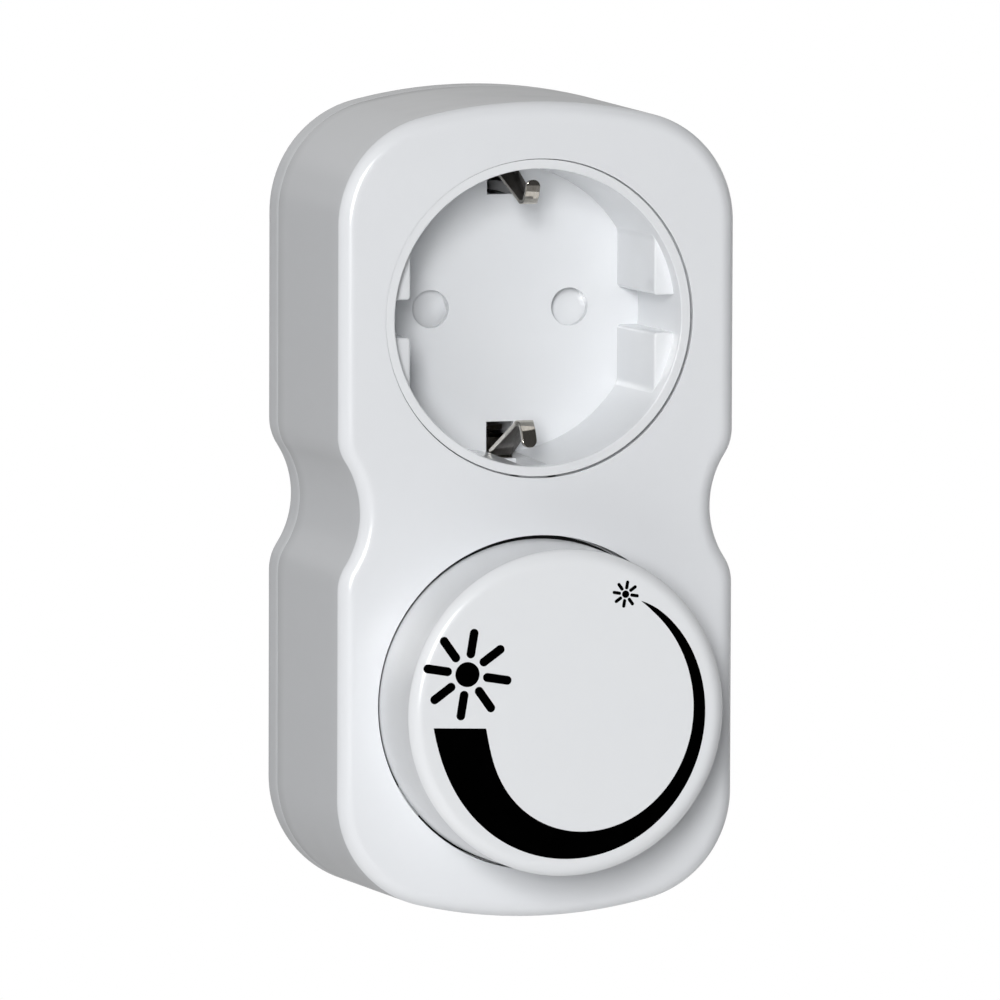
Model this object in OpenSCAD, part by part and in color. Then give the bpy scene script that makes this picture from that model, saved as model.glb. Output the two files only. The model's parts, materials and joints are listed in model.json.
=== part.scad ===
// Plug-in dimmer: a waisted two-shell body with an earthed pin socket above a rotary dimmer knob, and an
// earthed two-pin plug at the rear. X is to the right, Y runs into the wall, Z is up. The origin is the
// centre of the plug's end face, between the two plug pins.

/* [Body] */
// Wall left between an opening and the side of the body
side_margin = 4.95; // [4.8:0.05:8]
// Wall left between an opening and the top or bottom of the body
end_margin = 6.3; // [6:0.1:10]
// Land between the socket ring and the knob opening
bridge = 7.8; // [7:0.1:14]
// Depth of the body from the front face to the rear face
body_d = 33.4; // [33:0.1:38]
// Radius of the bowed top and bottom ends
end_r = 66.5; // [60:0.5:90]
// Radius of the four corners
corner_r = 14.4; // [13:0.1:16]
// How far the waist is drawn in on each side
waist_depth = 3; // [1:0.1:3.4]
// Radius of the waist's hollow
waist_r = 12.5; // [9:0.1:14]
// Radius of the blends beside the waist
waist_blend_r = 6; // [3:0.1:7]
// Radius of the rounded front edge
edge_r = 2; // [1:0.1:2.3]
// Radius of the rounded rear edge
rear_edge_r = 0.9; // [0.4:0.1:1.5]
// Draft of the sides in degrees
draft = 0.9; // [0:0.1:1.2]
// Wall of the front shell and of the rear cover
wall = 2.4; // [2.2:0.1:2.8]
// Depth of the rear cover's rim
cover_d = 4.8; // [4.4:0.1:6]
// Depth of the lip that locates the rear cover in the front shell
lip_d = 1.5; // [1:0.1:2.5]
// Thickness of that lip
lip_t = 1.2; // [0.8:0.1:1.6]
// Clearance between the lip and the front shell
lip_gap = 0.15; // [0.1:0.05:0.3]

/* [Socket] */
// Outer radius of the socket ring
ring_r = 20.65; // [20.4:0.05:22]
// Clearance between the ring and the front shell
ring_gap = 0.25; // [0.15:0.05:0.4]
// How far the ring sits below the front face
ring_sunk = 0.2; // [0:0.1:0.6]
// Thickness of the cup's wall at the mouth
cup_wall = 1.15; // [1:0.05:1.6]
// Depth of the recess
recess_d = 17.5; // [17:0.1:18]
// Thickness of the recess floor
floor_t = 1.2; // [1:0.1:2]
// Width of the flange behind the front shell
flange_w = 2.6; // [2.2:0.1:2.9]
// Thickness of that flange
flange_t = 1.6; // [1.2:0.1:2.4]
// Spacing of the pins, on the socket and on the plug
pin_pitch = 19; // [18.5:0.5:19.5]
// Radius of the pin holes in the recess floor
pin_hole_r = 2.5; // [2.45:0.05:2.8]
// Thickness of the guide blocks, from the recess wall to their flats
guide_t = 3.45; // [3:0.05:4]
// Depth of the guide blocks' front faces below the rim
guide_sunk = 2.15; // [1.8:0.05:8]
// How much thinner the guide blocks are at their front faces
guide_draft = 0.45; // [0:0.05:0.8]
// Width of the slot between the upper and lower guide blocks
guide_slot = 4.9; // [4.5:0.1:6]
// Width of the slots for the earth clips
clip_slot_w = 3.7; // [3.2:0.1:5]
// Distance from the recess wall to the inner ends of those slots
clip_slot_h = 4.55; // [4.2:0.05:5]
// Depth of the channel behind a clip, from the recess wall
channel_d = 0.9; // [0.75:0.05:1.6]
// Wall of the channel behind a clip
channel_wall = 1.2; // [0.8:0.1:1.4]

/* [Earth clips] */
// Width of an earth clip
clip_w = 2.4; // [2:0.1:3]
// Thickness of the clip's strip
clip_t = 0.5; // [0.4:0.05:0.7]
// Distance from the recess wall to the upper clip's bend
upper_clip_inset = 4.75; // [4.3:0.05:5.3]
// Distance from the recess wall to the lower clip's bend
lower_clip_inset = 5.3; // [4.3:0.05:5.4]
// Radius of the bend, along the middle of the strip
clip_bend_r = 1.1; // [0.7:0.05:1.3]
// Depth of the upper clip's bend below the rim
upper_clip_sunk = 4.7; // [4:0.1:7.5]
// Depth of the lower clip's bend below the rim
lower_clip_sunk = 6; // [4:0.1:7.5]
// Length of the tongue after the bend
clip_tongue = 2.9; // [2.5:0.1:4]
// Angle of the tongue from the face of the socket, in degrees
clip_tongue_lean = 28; // [10:1:40]
// Distance from the recess wall to a clip's root
clip_root_inset = 0.1; // [0:0.05:2.5]
// Radius of the bead that a clip turns on at its root
clip_bead_r = 0.55; // [0.5:0.05:0.7]

/* [Shutter] */
// Wall left between the shutter's openings and its edge
shutter_rim = 0.8; // [0.6:0.1:1.5]
// Thickness of the shutter disc
shutter_t = 3; // [2.6:0.1:3.6]
// Clearance between the shutter and the recess floor
shutter_gap = 0.15; // [0.1:0.05:0.3]
// Turn that opens the shutter, in degrees
shutter_turn = 42; // [40:1:48]
// Radius of the openings in the shutter
shutter_hole_r = 2.9; // [2.8:0.05:3.1]
// Depth of the ramps that the pins slide along
ramp_d = 2.1; // [1.6:0.1:2.4]
// Length of those ramps beyond the middle of the pin holes
ramp_l = 5.7; // [5:0.1:6]
// How far the ramps begin outside the pin holes
ramp_lead = 0.2; // [0:0.05:0.3]
// Radius of the post that the shutter turns on
post_r = 2; // [1.6:0.1:2.4]
// Radial clearance of the shutter on its post
post_gap = 0.06; // [0.03:0.01:0.1]
// Radius of the shutter spring's wire
spring_wire_r = 0.3; // [0.2:0.05:0.4]
// Gap between the turns of the shutter spring
spring_turn_gap = 0.15; // [0.1:0.05:0.3]
// Room between the shutter spring and its post
spring_room = 0.7; // [0.4:0.1:1]
// Turns of the shutter spring
spring_turns = 3; // [2:1:4]

/* [Knob] */
// Radius of the knob opening
knob_hole_r = 21.8; // [21:0.1:23]
// Gap between the knob and its opening
knob_gap = 0.35; // [0.3:0.05:0.8]
// Height of the knob's face above the front face
knob_h = 13.8; // [11:0.1:18]
// How much smaller the knob's radius is at its face
knob_taper = 0.2; // [0:0.05:0.6]
// Radius of the knob's rounded edge
knob_edge_r = 1.8; // [0.8:0.1:1.9]
// Thickness of the knob's skirt and face
knob_wall = 2; // [1.6:0.1:2.6]
// Depth of the knob's skirt below the front face
knob_sunk = 3.4; // [2.8:0.1:3.6]
// Depth of the well behind the knob opening
well_d = 4.2; // [4:0.1:5]
// Thickness of the well's floor
well_t = 2; // [1.6:0.1:2.4]
// Wall around the well
well_wall = 1.6; // [1.2:0.1:2]
// Radius of the hub in the knob
hub_r = 6; // [5:0.1:7]
// Thickness of the ribs inside the knob
rib_t = 1.2; // [0.8:0.1:1.6]
// How far those ribs end in front of the front face
rib_short = 2; // [1:0.1:4]
// Number of ribs inside the knob
knob_ribs = 6; // [4:1:8]

/* [Potentiometer] */
// Radius of the potentiometer's can
pot_r = 8.5; // [8:0.1:10]
// Length of the can, from the well floor to the board
pot_d = 8.8; // [8:0.1:10]
// Radius of the threaded bush
bush_r = 5; // [4.5:0.1:5.5]
// Length of the bush in front of the can
bush_l = 5.4; // [5.2:0.1:5.6]
// Radius of the shaft
shaft_r = 3; // [2.8:0.1:3.2]
// Flat of the shaft, measured from its axis
shaft_flat = 1.5; // [1:0.1:2]
// Radial clearance of the shaft in its bush
shaft_gap = 0.06; // [0.03:0.01:0.1]
// Thickness of the can's wall
can_wall = 0.6; // [0.5:0.05:0.8]
// Thickness of the can's front
can_front = 2.2; // [1.8:0.1:2.6]
// Thickness of the rotor
rotor_t = 2; // [1.6:0.1:2.4]
// Radial height of the rotor's lug and of the stop
stop_h = 1.2; // [1:0.1:1.5]
// Thickness of the track's wafer
wafer_t = 1.8; // [1.4:0.1:2]
// Thickness of the washer under the nut
washer_t = 0.6; // [0.5:0.05:0.8]
// Thickness of the nut
nut_t = 2; // [1.6:0.1:2]
// Wall of the nut over its flats
nut_wall = 2; // [1.6:0.1:3]
// Turn of the knob between its stops, in degrees
knob_turn = 270; // [260:1:280]

/* [Plug] */
// Length of the plug behind the body
plug_d = 16.5; // [15.5:0.1:17]
// Radius of the plug
plug_r = 18.4; // [18.2:0.1:18.8]
// Distance across the plug's side flats
plug_flats = 31.6; // [31:0.1:32]
// Width of the plug's side ribs
plug_rib = 4.4; // [4:0.1:4.8]
// Thickness of the plug's end face
plug_face_t = 2.5; // [2.2:0.1:3]
// Wall around the hollow in the plug
plug_wall = 3.5; // [3.2:0.1:3.8]
// Wall between that hollow and the side flats
plug_side_wall = 1.9; // [1.5:0.1:2.2]
// Chamfer around the plug's end face
plug_chamfer = 1; // [0.5:0.1:1.2]
// Radius of the plug pins
pin_r = 2.4; // [2.3:0.05:2.4]
// Length of the plug pins
pin_l = 19; // [17:0.5:20]
// How much thicker the pins are where they pass through the end face
pin_collar = 0.2; // [0.1:0.05:0.3]
// Radius of the pins' shoulders in the plug
pin_shoulder_r = 2.9; // [2.7:0.05:3]
// Length of those shoulders
shoulder_l = 5; // [4:0.1:5.5]
// How far the earth strips lie below the plug's rim
earth_inset = 0.85; // [0.7:0.05:1.1]
// Thickness of the earth strips
earth_t = 0.6; // [0.5:0.05:0.7]
// Width of the earth strips
earth_w = 5.5; // [5:0.1:6]
// How far the earth strips end short of the plug's end face
earth_short = 1.2; // [0.8:0.1:3]
// Width of the hoop that joins the earth strips
hoop_w = 4; // [3:0.1:5]
// Thickness of the contact sleeves
sleeve_t = 0.4; // [0.3:0.05:0.5]
// Width of the slit in a sleeve
sleeve_slit = 0.8; // [0.5:0.1:1]
// Wall of the pockets that hold the sleeves
pocket_wall = 1.2; // [1:0.1:1.4]
// Height of those pockets inside the body
pocket_rise = 4; // [3:0.1:5]
// Radius of the pillars that hold the socket insert from behind
pillar_r = 1.8; // [1.5:0.1:2]

/* [Circuit board] */
// Thickness of the board
board_t = 1.6; // [1.2:0.1:2]
// Radius of the board's screw posts
board_post_r = 2.6; // [2.4:0.1:3]
// Gap between the board and the front shell at each side
board_side_gap = 3.3; // [2.9:0.1:4]
// Distance from the waist to the board's top edge
board_top_gap = 4.8; // [4:0.1:6]
// Gap between the board and the lower screw posts
board_end_gap = 1; // [0.5:0.1:2]
// Distance from the board's edges to its screws
board_screw_in = 3.2; // [3:0.1:4]
// Radius of the board screws
board_screw_r = 1.2; // [1:0.1:1.3]
// Length of the board screws in their posts
board_screw_l = 5; // [4:0.5:7]
// Width of the rim of their heads
board_head_w = 1; // [0.8:0.1:1.2]
// Thickness of their heads
board_head_t = 1.4; // [1:0.1:1.8]

/* [Triac and heat sink] */
// Half width of the heat sink
sink_half_w = 14; // [12:0.1:15]
// Thickness of the heat sink
sink_t = 1.5; // [1:0.1:2]
// Depth of the heat sink's bent sides
sink_side = 5; // [4:0.1:6]
// Distance from the knob axis down to the heat sink
sink_drop = 6.6; // [6:0.1:7.5]
// Width of the triac
triac_w = 10; // [9:0.1:11]
// Thickness of the triac's case
triac_t = 3.2; // [2.8:0.1:3.6]
// Length of the triac's case
case_l = 4.9; // [4:0.1:6]
// Thickness of the triac's tab
tab_t = 1.3; // [1:0.1:1.5]
// Length of the tab beyond the case
tab_l = 4.5; // [4.2:0.1:5]
// Length of the triac's legs
leg_l = 1.2; // [0.8:0.1:1.8]
// Spacing of the legs
leg_pitch = 2.54; // [2:0.01:3]
// Width of a leg
leg_w = 0.8; // [0.5:0.05:1]
// Radius of the triac's screw
triac_screw_r = 1.5; // [1.2:0.1:1.6]
// Radius of the head and the nut of the triac's screw
triac_head_r = 1.95; // [1.8:0.05:2.2]
// Thickness of that head and nut
triac_head_t = 2; // [1.6:0.1:2.4]

/* [Choke] */
// Distance from the knob axis to the choke's axis, to the side
choke_side = 10; // [9.5:0.1:10.5]
// Distance from the knob axis up to the choke's axis
choke_rise = 4.6; // [4.4:0.1:5]
// Outer radius of the ring core
core_r = 8; // [7.5:0.1:8]
// Inner radius of the ring core
core_in_r = 4.4; // [4:0.1:5]
// Thickness of the ring core
core_t = 6; // [5:0.1:8]
// Radius of the winding's wire
wire_r = 0.45; // [0.3:0.05:0.45]
// Gap between the wire and the core's faces
wire_gap = 0.3; // [0.3:0.05:0.4]
// Number of turns on the core
turns = 15; // [8:1:15]

/* [Capacitors and small parts] */
// Length of the film capacitor
film_l = 17.4; // [15:0.1:18]
// Thickness of the film capacitor
film_t = 6.2; // [5:0.1:6.4]
// Height of the film capacitor
film_h = 10.5; // [9:0.1:12]
// Length of the timing capacitor
timing_l = 7.2; // [6:0.1:8]
// Thickness of the timing capacitor
timing_t = 2.8; // [2:0.1:3]
// Height of the timing capacitor
timing_h = 7; // [5:0.1:9]
// Length of the diac
diac_l = 4; // [3:0.1:5]
// Radius of the diac
diac_r = 1; // [0.8:0.1:1.2]
// Length of a resistor
resistor_l = 6.5; // [5:0.1:8]
// Radius of a resistor
resistor_r = 1.2; // [1:0.1:1.4]
// Spacing of the resistors
resistor_pitch = 3.5; // [3:0.1:4]
// Radius of the wires of these small parts
axial_wire_r = 0.3; // [0.25:0.05:0.4]
// Length of those wires along the board
axial_wire_l = 2; // [1.5:0.1:3]

/* [Fuse] */
// Length of the fuse
fuse_l = 20; // [18:0.1:20]
// Radius of the fuse's caps
fuse_r = 2.6; // [2.4:0.1:2.7]
// Length of a cap
fuse_cap_l = 5; // [4:0.1:6]
// Thickness of a cap
fuse_cap_t = 0.3; // [0.2:0.05:0.4]
// Distance from the knob axis to the fuse's middle, to the side
fuse_side = 10.4; // [10:0.1:11]
// Distance from the knob axis up to the fuse
fuse_rise = 9.8; // [9.4:0.1:12]
// Height of the fuse above the board
fuse_lift = 1; // [0.6:0.1:2]
// Width of a fuse clip
fuse_clip_w = 3.2; // [2.5:0.1:4]
// Wall of a fuse clip
fuse_clip_t = 0.6; // [0.4:0.05:0.8]

/* [Leads] */
// Radius of the leads
lead_r = 0.8; // [0.6:0.05:0.8]
// Width of the slot that lets a lead out of its pocket
lead_slot_w = 2.4; // [2:0.1:3]

/* [Fasteners] */
// Radius of the housing screws
screw_r = 1.4; // [1.2:0.05:1.5]
// Radius of the screw heads
screw_head_r = 2.7; // [2.4:0.1:2.9]
// Thickness of the screw heads
screw_head_t = 2; // [1.5:0.1:2.2]
// How far the heads lie below the rear face
screw_head_sunk = 0.3; // [0.1:0.1:0.5]
// Width of the crossed slots in the heads
screw_slot_w = 0.7; // [0.5:0.05:0.9]
// Radius of the posts that take the housing screws
screw_post_r = 3; // [2.8:0.1:3.2]
// Length of the housing screws under the head
screw_l = 12; // [9:0.5:16]
// Wall around the heads' seats in the rear cover
seat_wall = 0.9; // [0.7:0.1:1.2]
// Clearance around screws in their threads
screw_gap = 0.05; // [0.03:0.01:0.1]
// Clearance around screws and heads where they pass through
screw_clear = 0.2; // [0.1:0.05:0.4]

/* [Hidden] */
$fn = 64;

// Overlap used only where solids of one piece are joined or cut through
bite = 0.5;
// Gap left between two pieces that touch
touch = 0.05;
// Gap around a piece that is pressed on or in
press = 0.02;
// Gap around a piece that slides or passes through
slide = 0.1;
// Gap around a piece that runs past another
run = 0.3;

// Main levels along Y, where 0 is the plug's end face
rear_y = -plug_d;
front_y = rear_y - body_d;
parting_y = rear_y - cover_d;
function at(depth) = front_y + depth;

// Outline of the body in X and Z, symmetric about the waist
reach_r = max(ring_r, knob_hole_r);
axis_gap = ring_r + bridge + knob_hole_r;
knob_z = -axis_gap;
mid_z = -axis_gap / 2;
half_w = reach_r + side_margin;
half_h = axis_gap / 2 + reach_r + end_margin;
corner_x = half_w - corner_r;
end_z = half_h - end_r;
corner_z = end_z + sqrt(pow(end_r - corner_r, 2) - pow(corner_x, 2));
corner_a = atan2(corner_z - end_z, corner_x);
waist_a = acos((waist_r + waist_blend_r - waist_depth) / (waist_r + waist_blend_r));
blend_z = (waist_r + waist_blend_r) * sin(waist_a);

function arc(x, z, r, a0, a1, n) = [for (i = [0 : n]) let (a = a0 + (a1 - a0) * i / n)
    [x + r * cos(a), z + r * sin(a)]];
function rest_of(list, first = 1) = [for (i = [first : len(list) - 1]) list[i]];
function turned_over(list) = [for (i = [len(list) - 1 : -1 : 0]) [list[i].x, -list[i].y]];

// The quarter from the top centre to the waist, pushed outwards by o
function quarter(o) = concat(
    arc(0, end_z, end_r + o, 90, corner_a, 4),
    rest_of(arc(corner_x, corner_z, corner_r + o, corner_a, 0, 12)),
    arc(half_w - waist_blend_r, blend_z, waist_blend_r + o, 0, -waist_a, 4),
    rest_of(arc(half_w - waist_depth + waist_r, 0, waist_r - o, 180 - waist_a, 180, 4)));
function right_side(o) = concat(quarter(o), rest_of(turned_over(quarter(o))));
function left_side(o) = let (r = right_side(o)) [for (i = [len(r) - 2 : -1 : 1]) [-r[i].x, r[i].y]];
function outline(o) = concat(right_side(o), left_side(o));

// How far the drafted side stands out at a depth behind the front face
function flare(depth) = tan(draft) * depth;

// A closed solid through copies of the outline, each layer being [Y, offset], from front to rear
module loft(layers) {
    m = len(right_side(0));
    n = 2 * m - 2;
    last = (len(layers) - 1) * n;
    cap = concat([[0, 1, n - 1]], [for (j = [1 : m - 3]) [j, j + 1, n - j - 1, n - j]],
        [[m - 2, m - 1, m]]);
    polyhedron(
        points = [for (l = layers) for (p = outline(l[1])) [p.x, l[0], p.y + mid_z]],
        faces = concat(
            cap,
            [for (k = [0 : len(layers) - 2]) for (i = [0 : n - 1]) let (j = (i + 1) % n)
                [k * n + i, (k + 1) * n + i, (k + 1) * n + j, k * n + j]],
            [for (f = cap) [for (i = [len(f) - 1 : -1 : 0]) f[i] + last]]));
}

// A solid of revolution about Y through x and z, from a profile of radius and Y
module turned(x = 0, z = 0) {
    translate([x, 0, z]) rotate([-90, 0, 0]) rotate_extrude() children();
}

// A round rod along Y
module rod(r, y0, y1, x = 0, z = 0) {
    translate([x, y0, z]) rotate([-90, 0, 0]) cylinder(r = r, h = y1 - y0);
}

// A ring along Y
module tube_ring(r_out, r_in, y0, y1, x = 0, z = 0) {
    difference() {
        rod(r_out, y0, y1, x, z);
        rod(r_in, y0 - bite, y1 + bite, x, z);
    }
}

// A flat shape in X and Z, carried from y0 to y1
module slab(y0, y1) {
    translate([0, y1, 0]) rotate([90, 0, 0]) linear_extrude(y1 - y0) children();
}

// A box between two corners
module block(low, high) {
    translate(low) cube(high - low);
}

// A flat shape in Y and Z, centred on X and w wide
module strip_x(w) {
    translate([-w / 2, 0, 0]) rotate([90, 0, 90]) linear_extrude(w) children();
}

module pair_x() {
    children();
    mirror([1, 0, 0]) children();
}

module pair_z() {
    children();
    mirror([0, 0, 1]) children();
}

// Closed tube along a list of points, with its sides carried from ring to ring
function unit(v) = v / norm(v);
function heading(p, i) = unit(p[min(i + 1, len(p) - 1)] - p[max(i - 1, 0)]);
function square_to(v, t) = unit(v - t * (v * t));
function carried(p, i, start) = i == 0 ? square_to(start, heading(p, 0))
    : square_to(carried(p, i - 1, start), heading(p, i));
module sweep(p, r, sides, start) {
    n = len(p);
    points = [for (i = [0 : n - 1]) let (t = heading(p, i), u = carried(p, i, start), v = cross(t, u))
        for (k = [0 : sides - 1]) p[i] + r * (u * cos(360 * k / sides) + v * sin(360 * k / sides))];
    polyhedron(points, concat(
        [[for (k = [0 : sides - 1]) k]],
        [for (i = [0 : n - 2]) for (k = [0 : sides - 1])
            let (j = (k + 1) % sides, a = i * sides, b = a + sides)
            each [[a + k, b + k, b + j], [a + k, b + j, a + j]]],
        [[for (k = [sides - 1 : -1 : 0]) (n - 1) * sides + k]]));
}

// Housing screws sit in the four corners of the body, on posts that run a little into the wall
screw_post_sunk = 0.8;
screw_reach = corner_r - wall - screw_post_r + screw_post_sunk;
screw_lean = 58;
screw_x = corner_x + screw_reach * cos(screw_lean);
screw_up = corner_z + screw_reach * sin(screw_lean);
screw_places = [for (sx = [-1, 1]) for (sz = [-1, 1]) [sx * screw_x, mid_z + sz * screw_up]];
screw_seat_y = rear_y - screw_head_t - screw_head_sunk;

// Levels of the socket insert
rim_d = ring_sunk;
floor_d = rim_d + recess_d;
floor_back_d = floor_d + floor_t;
mouth_r = ring_r - cup_wall;
pin_x = pin_pitch / 2;
flange_r = ring_r + flange_w;
flange_back_d = wall + flange_t;

// Levels behind the recess floor
shutter_front_d = floor_back_d + shutter_gap;
shutter_back_d = shutter_front_d + shutter_t;
shutter_r = pin_x + shutter_hole_r + shutter_rim;
spring_pitch = 2 * spring_wire_r + spring_turn_gap;
spring_r = post_r + post_gap + spring_wire_r + spring_room;
spring_d = shutter_back_d + touch + spring_wire_r;
spring_back_d = spring_d + spring_turns * spring_pitch + spring_wire_r;
clip_washer_t = 0.6;
clip_washer_d = spring_back_d + touch;
post_end_d = clip_washer_d + clip_washer_t + bite;

// Contact sleeves and the pockets of the rear cover that hold them
sleeve_in_r = pin_hole_r + touch;
sleeve_r = sleeve_in_r + sleeve_t;
sleeve_shutter_gap = 0.5;
sleeve_front_d = shutter_back_d + sleeve_shutter_gap;
pin_end_room = 0.8;
sleeve_back_y = at(floor_d + pin_l + pin_end_room);
sleeve_base = 2;
pocket_in_r = sleeve_r + slide;
pocket_r = pocket_in_r + pocket_wall;
pocket_front_y = rear_y - pocket_rise;
plug_hollow_r = plug_r - plug_wall;
hollow_floor_y = -plug_face_t;
shoulder_y = hollow_floor_y - shoulder_l;

// Levels of the knob and the potentiometer
knob_r = knob_hole_r - knob_gap;
knob_face_d = -knob_h;
well_back_d = well_d + well_t;
board_front_d = well_back_d + pot_d;
board_back_d = board_front_d + board_t;
bush_front_d = well_back_d - bush_l;
hub_back_d = bush_front_d - run;
shaft_tip_room = 0.6;
shaft_tip_d = knob_face_d + knob_wall + shaft_tip_room;
can_in_r = pot_r - can_wall;
rotor_r = can_in_r - stop_h;
rotor_d = well_back_d + can_front;
rotor_gap = 0.2;
wafer_lift = 0.4;
wafer_back_d = board_front_d - wafer_lift;
wafer_front_d = wafer_back_d - wafer_t;
wafer_over = 0.15;
wafer_r = rotor_r + wafer_over;

// Places on the circuit board, from the knob axis
board_half_w = half_w - wall - board_side_gap;
board_top_z = mid_z - board_top_gap;
board_bottom_z = screw_places[0].y + screw_post_r + board_end_gap;
board_places = [for (sx = [-1, 1])
    for (z = [board_top_z - board_screw_in, board_bottom_z + board_screw_in])
    [sx * (board_half_w - board_screw_in), z]];
board_screw_end = 1;

// Colours
white = [0.91, 0.92, 0.93];
nickel = [0.75, 0.73, 0.70];
brass = [0.78, 0.62, 0.30];
steel = [0.62, 0.63, 0.65];
aluminium = [0.70, 0.71, 0.73];
black = [0.12, 0.12, 0.13];

// Front shell: rounded front, drafted sides, knob well, screw posts and board posts
module front_housing() color(white) difference() {
    union() {
        difference() {
            loft(concat(
                [for (a = [0 : 22.5 : 90]) let (d = edge_r * (1 - cos(a)))
                    [at(d), flare(d) - edge_r * (1 - sin(a))]],
                [[parting_y, flare(body_d - cover_d)]]));
            loft([[at(wall), flare(wall) - wall],
                [parting_y + bite, flare(body_d - cover_d + bite) - wall]]);
        }
        turned(z = knob_z) polygon([
            [knob_hole_r - bite, at(wall - bite)], [knob_hole_r + well_wall, at(wall - bite)],
            [knob_hole_r + well_wall, at(well_back_d)], [bush_r + slide, at(well_back_d)],
            [bush_r + slide, at(well_d)], [knob_hole_r - bite, at(well_d)]]);
        for (p = screw_places) rod(screw_post_r, at(wall - bite), parting_y, p.x, p.y);
        for (p = board_places) rod(board_post_r, at(wall - bite), at(board_front_d), p.x, p.y);
    }
    rod(ring_r + ring_gap, at(-bite), at(wall + bite));
    rod(knob_hole_r, at(-bite), at(well_d), z = knob_z);
    for (p = screw_places) rod(screw_r + screw_gap, parting_y - screw_l, parting_y + bite, p.x, p.y);
    for (p = board_places) rod(board_screw_r + screw_gap,
        at(board_front_d - board_screw_l - board_screw_end), at(board_front_d + bite), p.x, p.y);
}

// Flat outline of the plug: a circle with side flats and a rib on each flat
rib_sunk = 0.5;
module plug_shape(r, flats) {
    intersection() {
        circle(r);
        union() {
            square([flats, 2 * r + bite], center = true);
            square([2 * (r - rib_sunk), plug_rib], center = true);
        }
    }
}

// Rear cover with its lip, the hollow plug, contact pockets, screw seats and pillars behind the insert
pillar_at = ring_r + pillar_r + lip_gap;
pillar_lean = 43;
pillar_places = [for (sx = [-1, 1]) for (sz = [-1, 1])
    [sx * pillar_at * cos(pillar_lean), sz * pillar_at * sin(pillar_lean)]];
lip_o = flare(body_d - cover_d) - wall - lip_gap;
earth_slot_gap = 0.15;
earth_side_room = 1;
earth_z = plug_r - earth_inset - earth_t;
module rear_cover() color(white) difference() {
    union() {
        difference() {
            union() {
                loft(concat([[parting_y, flare(body_d - cover_d)]],
                    [for (a = [0 : 45 : 90]) let (d = rear_edge_r * (1 - sin(a)))
                        [rear_y - d, flare(body_d - d) - rear_edge_r * (1 - cos(a))]]));
                difference() {
                    loft([[parting_y - lip_d, lip_o], [parting_y + bite, lip_o]]);
                    for (p = screw_places)
                        rod(screw_post_r + lip_gap, parting_y - lip_d - bite, parting_y, p.x, p.y);
                }
                intersection() {
                    slab(rear_y - bite, 0) plug_shape(plug_r, plug_flats);
                    turned() polygon([[0, rear_y - 2 * bite], [plug_r + bite, rear_y - 2 * bite],
                        [plug_r + bite, -plug_chamfer - bite], [plug_r - plug_chamfer, 0], [0, 0]]);
                }
            }
            loft([[parting_y - lip_d - bite, lip_o - lip_t], [rear_y - wall, lip_o - lip_t]]);
            slab(rear_y - wall - bite, hollow_floor_y)
                plug_shape(plug_hollow_r, plug_flats - 2 * plug_side_wall);
        }
        for (sx = [-1, 1]) rod(pocket_r, pocket_front_y, hollow_floor_y + bite, sx * pin_x);
        for (p = screw_places) rod(screw_head_r + seat_wall, parting_y, rear_y - rear_edge_r, p.x, p.y);
        for (p = pillar_places)
            rod(pillar_r, at(flange_back_d) + touch, rear_y - wall + bite, p.x, p.y);
    }
    for (sx = [-1, 1]) {
        rod(pocket_in_r, pocket_front_y - bite, sleeve_back_y + touch, sx * pin_x);
        rod(pin_shoulder_r + touch, sleeve_back_y, hollow_floor_y, sx * pin_x);
        rod(pin_r + pin_collar + press, hollow_floor_y - bite, bite, sx * pin_x);
    }
    block([pin_x - lead_slot_w / 2, pocket_front_y - bite, -pocket_r - bite],
        [pin_x + lead_slot_w / 2, shoulder_y, 0]);
    for (p = screw_places) {
        rod(screw_r + screw_clear, parting_y - bite, rear_y + bite, p.x, p.y);
        rod(screw_head_r + screw_clear, screw_seat_y, rear_y + bite, p.x, p.y);
    }
    pair_z() {
        block([-earth_w / 2 - earth_side_room, rear_y + touch, earth_z - earth_slot_gap],
            [earth_w / 2 + earth_side_room, bite, plug_r + bite]);
        block([-earth_w / 2 - earth_slot_gap, rear_y - wall - bite, earth_z - earth_slot_gap],
            [earth_w / 2 + earth_slot_gap, rear_y + bite, earth_z + earth_t + earth_slot_gap]);
    }
}

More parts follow.
